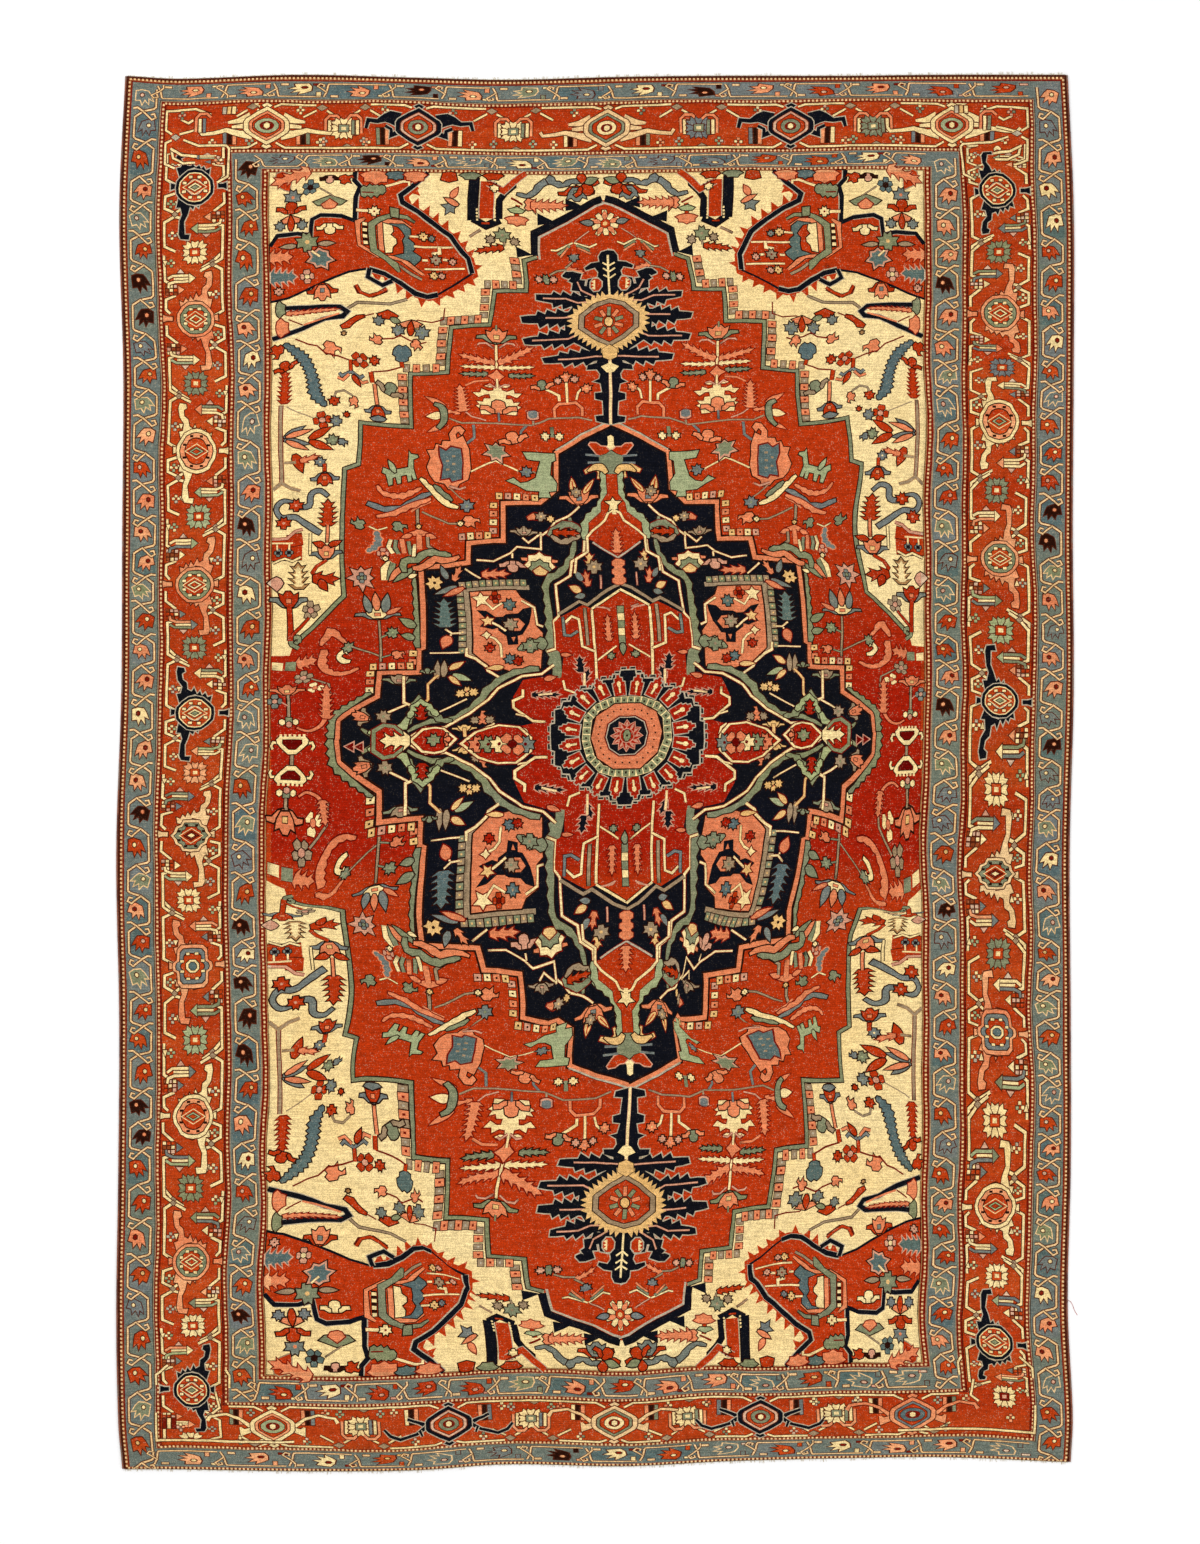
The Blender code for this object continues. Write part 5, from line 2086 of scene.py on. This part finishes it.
def pile_material():
    """Worn wool pile. The colour comes from each face's wool; every knot is a little lighter
    or darker than the next, rows of knots differ in short streaks, and bands up the rug show
    where a new dyeing was begun."""
    shader = Shader("knotted_pile", 0.92, sheen=0.0, sheen_roughness=0.6, specular=0.02)
    place = shader.node("TexCoord", output=3)
    wool = shader.node("Attribute", attribute_name="wool", attribute_type="GEOMETRY")
    baths = shader.node("Attribute", attribute_name="dye_bath", attribute_type="GEOMETRY")
    madder, indigo, undyed = (
        shader.node("SeparateColor", baths, output=k) for k in range(3)
    )
    knots = shader.vector("MULTIPLY", place, (1 / KNOT, 1 / KNOT, 0))
    cell = shader.vector("FLOOR", knots)
    grain = shader.node("TexWhiteNoise", cell)
    streaks = shader.node("TexNoise", shader.vector("MULTIPLY", cell, (0.045, 0.93, 0)), 1.0, 1.0, 0.5)
    mottle = shader.node("TexNoise", knots, 0.16, 3.0, 0.6)
    cloud = shader.node("TexNoise", place, 2.6, 3.0, 0.55)
    light = shader.scaled(grain, 0.46, 0.77)
    light = shader.times(light, shader.scaled(streaks, 0.8, 0.60))
    light = shader.times(light, shader.scaled(mottle, 0.7, 0.65))
    # A dyeing lasts for some thousand rows of knots, then the next one begins a little off.
    height = shader.node("SeparateXYZ", place, output=1)
    drift = shader.scaled(cloud, 0.12, height)
    end = 2.55  # where the bands of the dyeings end, in metres up and down the rug
    share = shader.node("MapRange", drift, -end, end, 0.0, 1.0)
    red_bands = shader.ramp(
        share, (0.0, 0.96), (0.16, 1.0), (0.30, 0.97), (0.44, 0.90), (0.60, 0.88), (0.68, 0.93),
        (0.76, 1.0), (0.88, 0.94), (1.0, 0.98))
    across = shader.node("SeparateXYZ", place, output=0)
    out_of_field = shader.math("MAXIMUM", *(
        shader.math("GREATER_THAN", shader.math("ABSOLUTE", way), half * KNOT)
        for way, half in ((across, FIELD_ACROSS), (height, FIELD_UP))))
    crimson = shader.times(
        shader.math("SUBTRACT", 1.0, out_of_field),
        shader.ramp(share, (0.43, 0.0), (0.455, 0.95), (0.565, 1.0), (0.60, 0.72), (0.64, 0.35),
                    (0.70, 0.0)))
    thick = shader.node("RGBToBW", wool)
    crimson = shader.times(crimson, shader.ramp(thick, (0.15, 1.0), (0.24, 0.12)))
    red_light = shader.mix(crimson, red_bands, (0.74, 0.32, 0.50, 1))
    red_light = shader.mix(madder, (1, 1, 1, 1), red_light)
    bands = shader.node("TexNoise", drift, 2.3, 2.0, 0.5, noise_dimensions="1D")
    greener = shader.times(indigo, shader.ramp(bands, (0.42, 0.0), (0.60, 0.55)))
    colour = shader.tinted(wool, red_light)
    # The borders were knotted from other skeins of red, some of them nearly orange.
    skeins = shader.node("TexNoise", drift, 5.2, 3.0, 0.6, noise_dimensions="1D")
    orange = shader.times(shader.times(madder, out_of_field),
                          shader.ramp(skeins, (0.40, 0.0), (0.62, 1.0)))
    warm = shader.tinted(colour, (1.14, 1.75, 1.9, 1.0))
    colour = shader.mix(orange, colour, warm)
    green = shader.tinted(colour, (1.12, 1.10, 0.80, 1.0))
    colour = shader.mix(greener, colour, green)
    yellowed = shader.tinted(colour, (0.97, 0.90, 0.78, 1.0))
    old = shader.times(undyed, shader.ramp(cloud, (0.40, 0.0), (0.66, 0.8)))
    colour = shader.mix(old, colour, yellowed)
    # Where the pile is worn to its knots the pale foundation glints through.
    spot = shader.node("TexWhiteNoise", shader.vector("ADD", cell, (3.1, 7.7, 0)))
    worn = shader.times(shader.math("GREATER_THAN", spot, 0.88),
                        shader.ramp(mottle, (0.40, 0.0), (0.62, 0.32)))
    worn = shader.times(worn, shader.ramp(thick, (0.01, 0.1), (0.12, 1.0)))
    colour = shader.tinted(colour, light)
    colour = shader.mix(worn, colour, (0.55, 0.42, 0.26, 1.0))
    shader.feed("Base Color", colour)
    # Each knot is a small tuft, the rows lie a little apart, and dark wool has worn lower.
    step = shader.vector("FRACTION", knots)
    off_centre = shader.vector("SUBTRACT", step, (0.5, 0.5, 0.0))
    apart = shader.vector("LENGTH", off_centre, output=1)
    tuft = shader.ramp(apart, (0.20, 1.0), (0.62, 0.2))
    rise = shader.scaled(grain, 0.7, tuft)
    rise = shader.scaled(mottle, 2.0, rise)
    rise = shader.scaled(shader.ramp(thick, (0.02, 0.0), (0.10, 1.0)), 1.1, rise)
    shader.bump(rise, 0.0009, 0.8)
    shader.feed("Roughness", shader.scaled(grain, 0.12, 0.84))
    return shader.material


def foundation_material():
    """The woven back. The same wools show as the flat backs of the knots, ribbed along the
    warps, with pale weft between the rows."""
    shader = Shader("woven_back", 0.9, sheen=0.05, specular=0.15)
    place = shader.node("TexCoord", output=3)
    wool = shader.node("Attribute", attribute_name="wool", attribute_type="GEOMETRY")
    knots = shader.vector("MULTIPLY", place, (1 / KNOT, 1 / KNOT, 0))
    cell = shader.vector("FLOOR", knots)
    grain = shader.node("TexWhiteNoise", cell)
    across = shader.math("FRACT", shader.node("SeparateXYZ", knots, output=0))
    along = shader.math("FRACT", shader.node("SeparateXYZ", knots, output=1))
    weft = shader.ramp(along, (0.0, 1.0), (0.16, 1.0), (0.22, 0.0), (1.0, 0.0))
    light = shader.scaled(grain, 0.2, 0.8)
    colour = shader.tinted(wool, light)
    colour = shader.mix(shader.times(weft, 0.6), colour, (0.50, 0.42, 0.30, 1.0))
    shader.feed("Base Color", colour)
    rib = shader.math("SINE", shader.times(across, math.pi))
    shader.bump(shader.math("SUBTRACT", rib, weft), 0.0006)
    shader.feed("Roughness", shader.scaled(grain, 0.1, 0.85))
    return shader.material


def wrapped_material(name, along_pitch, dark, light, accent, specular=0.2):
    """Wool wrapped in close turns round a cord. The piece's own UV map counts turns along it
    and runs once round it, and the wool changes colour where a new length was taken up. Each
    turn is painted darker towards the grooves between turns, as painted shade, where its bump dips."""
    shader = Shader(name, 0.88, sheen=0.15, specular=specular)
    turns = shader.node("UVMap", uv_map="wrap")
    along = shader.node("SeparateXYZ", turns, output=0)
    around = shader.node("SeparateXYZ", turns, output=1)
    slant = shader.scaled(around, 1.0, along)
    strand = shader.math("ABSOLUTE", shader.math("SINE", shader.times(slant, math.pi)))
    number = shader.math("FLOOR", slant)
    grain = shader.node("TexWhiteNoise", shader.node("CombineXYZ", number, 0.0, 0.0))
    lengths = shader.node("TexNoise", shader.times(along, along_pitch), 1.0, 2.0, 0.5,
                          noise_dimensions="1D")
    colour = shader.mix(shader.ramp(lengths, (0.42, 0.0), (0.50, 1.0)), dark, light)
    colour = shader.mix(shader.ramp(lengths, (0.60, 0.0), (0.64, 1.0)), colour, accent)
    # A random tone for each turn, then painted shade: the colour darkens towards the grooves between
    # turns, by the same profile as the bump.
    tone_and_groove_shade = shader.scaled(grain, 0.35, 0.65)
    tone_and_groove_shade = shader.times(tone_and_groove_shade, shader.scaled(strand, 0.45, 0.55))
    colour = shader.tinted(colour, tone_and_groove_shade)
    shader.feed("Base Color", colour)
    shader.bump(strand, 0.0006)
    shader.feed("Roughness", shader.scaled(grain, 0.15, 0.8))
    return shader.material


def warp_material():
    """Undyed cotton warp ends, paler and darker in patches and twisted as spun yarn is."""
    shader = Shader("warp_ends", 0.9, sheen=0.1, specular=0.2)
    place = shader.node("TexCoord", output=3)
    fine = shader.node("TexNoise", place, 900.0, 2.0, 0.6)
    broad = shader.node("TexNoise", place, 14.0, 3.0, 0.6)
    twist = shader.node("TexWave", place, 420.0, 1.5, 2.0, 1.0, wave_type="BANDS",
                        bands_direction="DIAGONAL", output=1)
    colour = shader.mix(shader.ramp(broad, (0.35, 0.0), (0.65, 1.0)), (0.60, 0.50, 0.33, 1.0),
                        (0.80, 0.73, 0.56, 1.0))
    colour = shader.mix(shader.times(fine, 0.5), colour, (0.42, 0.33, 0.21, 1.0))
    shader.feed("Base Color", colour)
    shader.bump(twist, 0.0003)
    shader.feed("Roughness", shader.scaled(fine, 0.2, 0.75))
    return shader.material


# The pieces.


def tube(path, radius, sides, wraps):
    """Places, faces and wrap coordinates of a closed round tube along a path.
    The ring at each point lies across the path's direction, radius may change along it, and
    both ends run together in one point. wraps counts the turns of wool at each point."""
    path = np.asarray(path, float)
    heading = np.gradient(path, axis=0)
    heading /= np.linalg.norm(heading, axis=1)[:, None]
    side = np.cross(heading, (0.0, 0.0, 1.0))
    side /= np.linalg.norm(side, axis=1)[:, None]
    lift = np.cross(side, heading)
    turn = np.arange(sides) / sides * math.tau
    radius = np.broadcast_to(radius, len(path))[:, None, None]
    ring = np.cos(turn)[:, None] * side[:, None] + np.sin(turn)[:, None] * lift[:, None]
    rings = path[:, None] + radius * ring
    count = len(path)
    spots = np.concatenate((rings.reshape(-1, 3), path[:1], path[-1:]))
    row, column = np.meshgrid(np.arange(count - 1), np.arange(sides), indexing="ij")
    after = (column + 1) % sides
    near, far = row * sides, (row + 1) * sides
    a, b, c, d = near + column, near + after, far + after, far + column
    skin = np.stack((np.stack((a, b, c), -1), np.stack((a, c, d), -1)), axis=2).reshape(-1, 3)
    column = np.arange(sides)
    after = (column + 1) % sides
    base = (count - 1) * sides
    first = np.stack((np.full(sides, count * sides), after, column), axis=1)
    last = np.stack((np.full(sides, count * sides + 1), base + column, base + after), axis=1)
    faces = np.concatenate((skin, first, last))
    span = np.broadcast_to(wraps, count)
    around = np.arange(sides) / sides
    low, high = span[:-1, None] + 0 * around, span[1:, None] + 0 * around
    start, stop = around + 0 * low, around + 1 / sides + 0 * low
    skin_wrap = np.stack((
        np.stack((low, low, high, low, high, high), -1),
        np.stack((start, stop, stop, start, stop, start), -1)), axis=-1).reshape(-1, 2)
    caps = np.zeros((2 * sides * 3, 2))
    caps[sides * 3:, 0] = span[-1]
    return spots, faces, np.concatenate((skin_wrap, caps))


def lay_wrap(obj, coordinates):
    """Gives the piece its UV map of turns along and around it."""
    layer = obj.data.uv_layers.new(name="wrap")
    layer.data.foreach_set("uv", np.asarray(coordinates, np.float32).ravel())


def finish_piece(obj, slot, *nodes):
    """The piece lies on the rug's one body and stands for its CAD solids."""
    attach(obj, "root")
    if nodes:
        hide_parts(*nodes)


def make_loose_yarn():
    """The end of wrapping yarn that has come away from the right cord, along its route."""
    face = on_rug(np.array([1.0]), np.array([YARN_UP / HALF_UP]))[0]
    out, down, height = np.array(YARN_ROUTE).T
    path = np.stack((face[0] + SEAT_GAP + out, face[1] - down, height), axis=1)
    spots, faces, wrap = tube(path, YARN_DIAMETER / 2, 12, np.arange(len(path)) * 1.6)
    yarn = wrapped_material("loose_rose_yarn", 0.2, (0.60, 0.17, 0.15, 1), (0.70, 0.25, 0.22, 1),
                            (0.50, 0.12, 0.10, 1))
    obj = lay_faces("loose_yarn", spots, faces, yarn)
    lay_wrap(obj, wrap)
    obj.data.shade_smooth()
    finish_piece(obj, "loose_yarn", "loose_yarn_end")


def make_side_cords():
    """The two overcast cords, a little thicker and thinner along their length."""
    sizes = bpy.context.scene.rug_sizes
    wool = wrapped_material("overcasting", 0.012, (0.20, 0.060, 0.035, 1), (0.36, 0.12, 0.065, 1),
                            (0.30, 0.17, 0.12, 1))
    radius = CORD_DIAMETER / 2
    up = np.linspace(-1, 1, 900)
    for name, side in (("side_cord_left", -1), ("side_cord_right", 1)):
        plan = on_rug(np.full(len(up), side), up, radius)
        path = np.insert(plan, 2, radius, axis=1)
        swell = waves(path[:, :2], 20 + side, 9, 0.02, 0.15)
        reach = radius * (0.94 + 0.05 * swell)
        wraps = np.arange(len(up)) * (2 * HALF_UP * KNOT / sizes.wrap_pitch / len(up))
        spots, faces, wrap = tube(path, reach, 10, wraps)
        obj = lay_faces("overcast_" + name[5:], spots, faces, wool)
        lay_wrap(obj, wrap)
        obj.data.shade_smooth()
        finish_piece(obj, "overcasting", name)


def make_fringes():
    """The cut warp ends. Tufts of slightly fanned strands stand out from a narrow web, each
    strand a thin cone of five sides that bends down to the floor."""
    sizes = bpy.context.scene.rug_sizes
    cotton = warp_material()
    inset = CORD_DIAMETER + SEAT_GAP
    for name, end in (("warp_fringe_top", 1), ("warp_fringe_bottom", -1)):
        draw = np.random.default_rng(30 + end)
        left, right = on_rug(np.array([-1.0, 1.0]), np.full(2, end), inset)
        tufts = int((right[0] - left[0]) / TUFT_PITCH)
        place, face, used = [], [], 0
        web = on_rug(np.linspace(-0.999, 0.999, 240), np.full(240, end), inset)
        web_path = np.insert(web + (0, end * WEB_OUT), 2, FRINGE_HEIGHT, axis=1)
        strands = [(web_path, WEB_RADIUS)]
        for k in range(tufts):
            middle = 2 * (k + 0.5) / tufts - 1 + draw.uniform(-0.002, 0.002)
            reach = draw.uniform(*STRAND_REACH)
            for strand in range(sizes.fringe_strands):
                spread = draw.uniform(-1, 1)
                at = middle + spread * TUFT_SPREAD
                root = on_rug(np.array([at]), np.array([float(end)]), inset)[0]
                step = np.linspace(0, 1, 5)
                long = reach * draw.uniform(0.75, 1.0)
                lean = spread * 0.0025 + draw.uniform(-0.0015, 0.0015)
                x = root[0] + lean * step**1.5
                y = root[1] + end * (WEB_OUT / 2 + long * step)
                arch = STRAND_RADIUS * np.sin(step * 2.6) * draw.uniform(0.3, 1.0)
                z = FRINGE_HEIGHT + arch - 0.0003 * step
                strands.append((np.stack((x, y, z), axis=1), STRAND_RADIUS * (1 - 0.45 * step)))
        for path, radius in strands:
            points, faces = tube(path, radius, 5, 0.0)[:2]
            place.append(points)
            face.append(faces + used)
            used += len(points)
        obj = lay_faces(name.replace("warp", "cotton"), np.concatenate(place),
                        np.concatenate(face), cotton)
        obj.data.shade_smooth()
        finish_piece(obj, "warp", name)


def make_pile_and_back():
    """The knotted pile in its parts and the woven foundation under all of them."""
    patches = rug_patches()
    rings = [np.clip(ring, (-HALF_ACROSS, -HALF_UP), (HALF_ACROSS, HALF_UP)) for ring, wool in patches]
    numbers = np.array([list(WOOLS).index(wool) for ring, wool in patches])
    divide = np.array(((0.0, -HALF_UP), (0.0, HALF_UP)))
    points, triangles = cut_plane(rings + [divide], MESH_SPACING)
    centres = points[triangles].mean(axis=1)
    wools = numbers[top_patch(centres, rings)]
    zones = zone_of(centres)
    zones[np.all(abs(points[triangles, 0]) < 1e-6, axis=1)] = -1  # slivers on the dividing line
    wool = pile_material()
    names = ("pile_outer_stripes", "pile_wide_border", "pile_inner_stripes", "pile_field_left",
             "pile_field_right")
    for zone, name in enumerate(names):
        chosen = zones == zone
        part = slab(name, points, triangles[chosen], wools[chosen], wool, zone)
        finish_piece(part, "pile")
    large = [k for k, ring in enumerate(rings) if area(ring) > LEAST_ON_BACK]
    rings = [rings[k] for k in large]
    points, triangles = cut_plane(rings, 2 * MESH_SPACING)
    wools = numbers[large][top_patch(points[triangles].mean(axis=1), rings)]
    back = slab("woven_foundation", points, triangles, wools, foundation_material())
    finish_piece(back, "pile", "rug_body")


def make_studio():
    """A pale floor, wide soft lights overhead, and the camera straight above the rug."""
    sizes = bpy.context.scene.rug_sizes
    scene = bpy.context.scene
    floor = Shader("studio_floor", 0.9, specular=0.1)
    place = floor.node("TexCoord", output=3)
    cloud = floor.node("TexNoise", place, 0.7, 3.0, 0.5)
    floor.feed("Base Color", floor.mix(cloud, (0.94, 0.94, 0.94, 1), (0.97, 0.97, 0.97, 1)))
    square = np.insert(box(2 * FLOOR_HALF, 2 * FLOOR_HALF), 2, -SEAT_GAP, axis=1)
    stage = lay_faces("studio_floor", square, np.array(((0, 1, 2), (0, 2, 3))), floor.material)
    camera = bpy.data.objects.new("camera", bpy.data.cameras.new("camera"))
    scene.collection.objects.link(camera)
    camera.data.sensor_fit = "VERTICAL"
    camera.data.sensor_height = SENSOR
    camera.data.lens = LENS
    camera.data.clip_end = 100.0
    camera.location = (4 * KNOT, 0.0, PILE_TOP + sizes.view_height * LENS / SENSOR)
    scene.camera = camera
    world = bpy.data.worlds.new("studio_air")
    scene.world = world
    world.use_nodes = True
    air = world.node_tree.nodes["Background"]
    air.inputs["Color"].default_value = (1.0, 1.0, 1.0, 1.0)
    air.inputs["Strength"].default_value = AIR_LIGHT
    for name, spot, size, power in LAMPS:
        lamp = bpy.data.lights.new(name, "AREA")
        lamp.size = size
        lamp.energy = power
        light = bpy.data.objects.new(name, lamp)
        light.location = spot
        light.rotation_euler = Vector(spot).to_track_quat("Z", "Y").to_euler()
        scene.collection.objects.link(light)
    scene.view_settings.view_transform = "Standard"


# The add-on.


def wool_property(name):
    """The property that holds one wool's display colour."""
    return FloatVectorProperty(
        name=name.capitalize() + " wool", description="Display colour of the " + name + " wool",
        subtype="COLOR_GAMMA", size=3, min=0.0, max=1.0, default=WOOLS[name][0])


class RugWools(bpy.types.PropertyGroup):
    """The display colours of the dyed wools."""

    __annotations__ = {name: wool_property(name) for name in WOOLS}


class RugSizes(bpy.types.PropertyGroup):
    """Sizes that a user may change."""

    wrap_pitch: FloatProperty(
        name="Wrap pitch", description="Distance between turns of wool on the side cords",
        default=0.0022, min=0.001, max=0.01, unit="LENGTH")
    fringe_strands: IntProperty(
        name="Fringe strands", description="Warp ends in one tuft of the fringes",
        default=6, min=2, max=12)
    view_height: FloatProperty(
        name="View height", description="Length of the floor that the picture shows",
        default=5.558, min=1.0, max=20.0, unit="LENGTH")


class RUG_OT_studio(bpy.types.Operator):
    """Make the pale floor, the soft lights and the camera above the rug"""

    bl_idname = "rug.studio"
    bl_label = "Studio and Camera"

    def execute(self, context):
        make_studio()
        return {"FINISHED"}


class RUG_OT_loose_yarn(bpy.types.Operator):
    """Lay the loose end of wrapping yarn beside the right cord"""

    bl_idname = "rug.loose_yarn"
    bl_label = "Loose Yarn"

    def execute(self, context):
        make_loose_yarn()
        return {"FINISHED"}


class RUG_OT_pile(bpy.types.Operator):
    """Knot the patterned pile and weave the foundation under it"""

    bl_idname = "rug.pile"
    bl_label = "Pile and Foundation"

    def execute(self, context):
        make_pile_and_back()
        return {"FINISHED"}


class RUG_OT_side_cords(bpy.types.Operator):
    """Wrap the two side cords"""

    bl_idname = "rug.side_cords"
    bl_label = "Side Cords"

    def execute(self, context):
        make_side_cords()
        return {"FINISHED"}


class RUG_OT_fringes(bpy.types.Operator):
    """Cut the warp ends at both ends of the rug"""

    bl_idname = "rug.fringes"
    bl_label = "Warp Fringes"

    def execute(self, context):
        make_fringes()
        return {"FINISHED"}


OPERATORS = (RUG_OT_studio, RUG_OT_loose_yarn, RUG_OT_pile, RUG_OT_side_cords, RUG_OT_fringes)


class RUG_PT_sidebar(bpy.types.Panel):
    """Lists the rug's pieces with its sizes and wools."""

    bl_idname = "RUG_PT_sidebar"
    bl_label = "Hand-Knotted Rug"
    bl_space_type = "VIEW_3D"
    bl_region_type = "UI"
    bl_category = "Rug"

    def draw(self, context):
        column = self.layout.column(align=True)
        for operator in OPERATORS:
            column.operator(operator.bl_idname)
        for group in (context.scene.rug_sizes, context.scene.rug_wools):
            box_column = self.layout.box().column()
            for name in group.__annotations__:
                box_column.prop(group, name)


CLASSES = (RugWools, RugSizes, *OPERATORS, RUG_PT_sidebar)


def register():
    for each in CLASSES:
        bpy.utils.register_class(each)
    bpy.types.Scene.rug_wools = PointerProperty(type=RugWools)
    bpy.types.Scene.rug_sizes = PointerProperty(type=RugSizes)


def unregister():
    del bpy.types.Scene.rug_wools
    del bpy.types.Scene.rug_sizes
    for each in reversed(CLASSES):
        bpy.utils.unregister_class(each)


def main():
    """Builds the scene piece by piece."""
    register()
    for make in (bpy.ops.rug.studio, bpy.ops.rug.loose_yarn, bpy.ops.rug.pile,
                 bpy.ops.rug.side_cords, bpy.ops.rug.fringes):
        make()


if __name__ == "__main__":
    main()
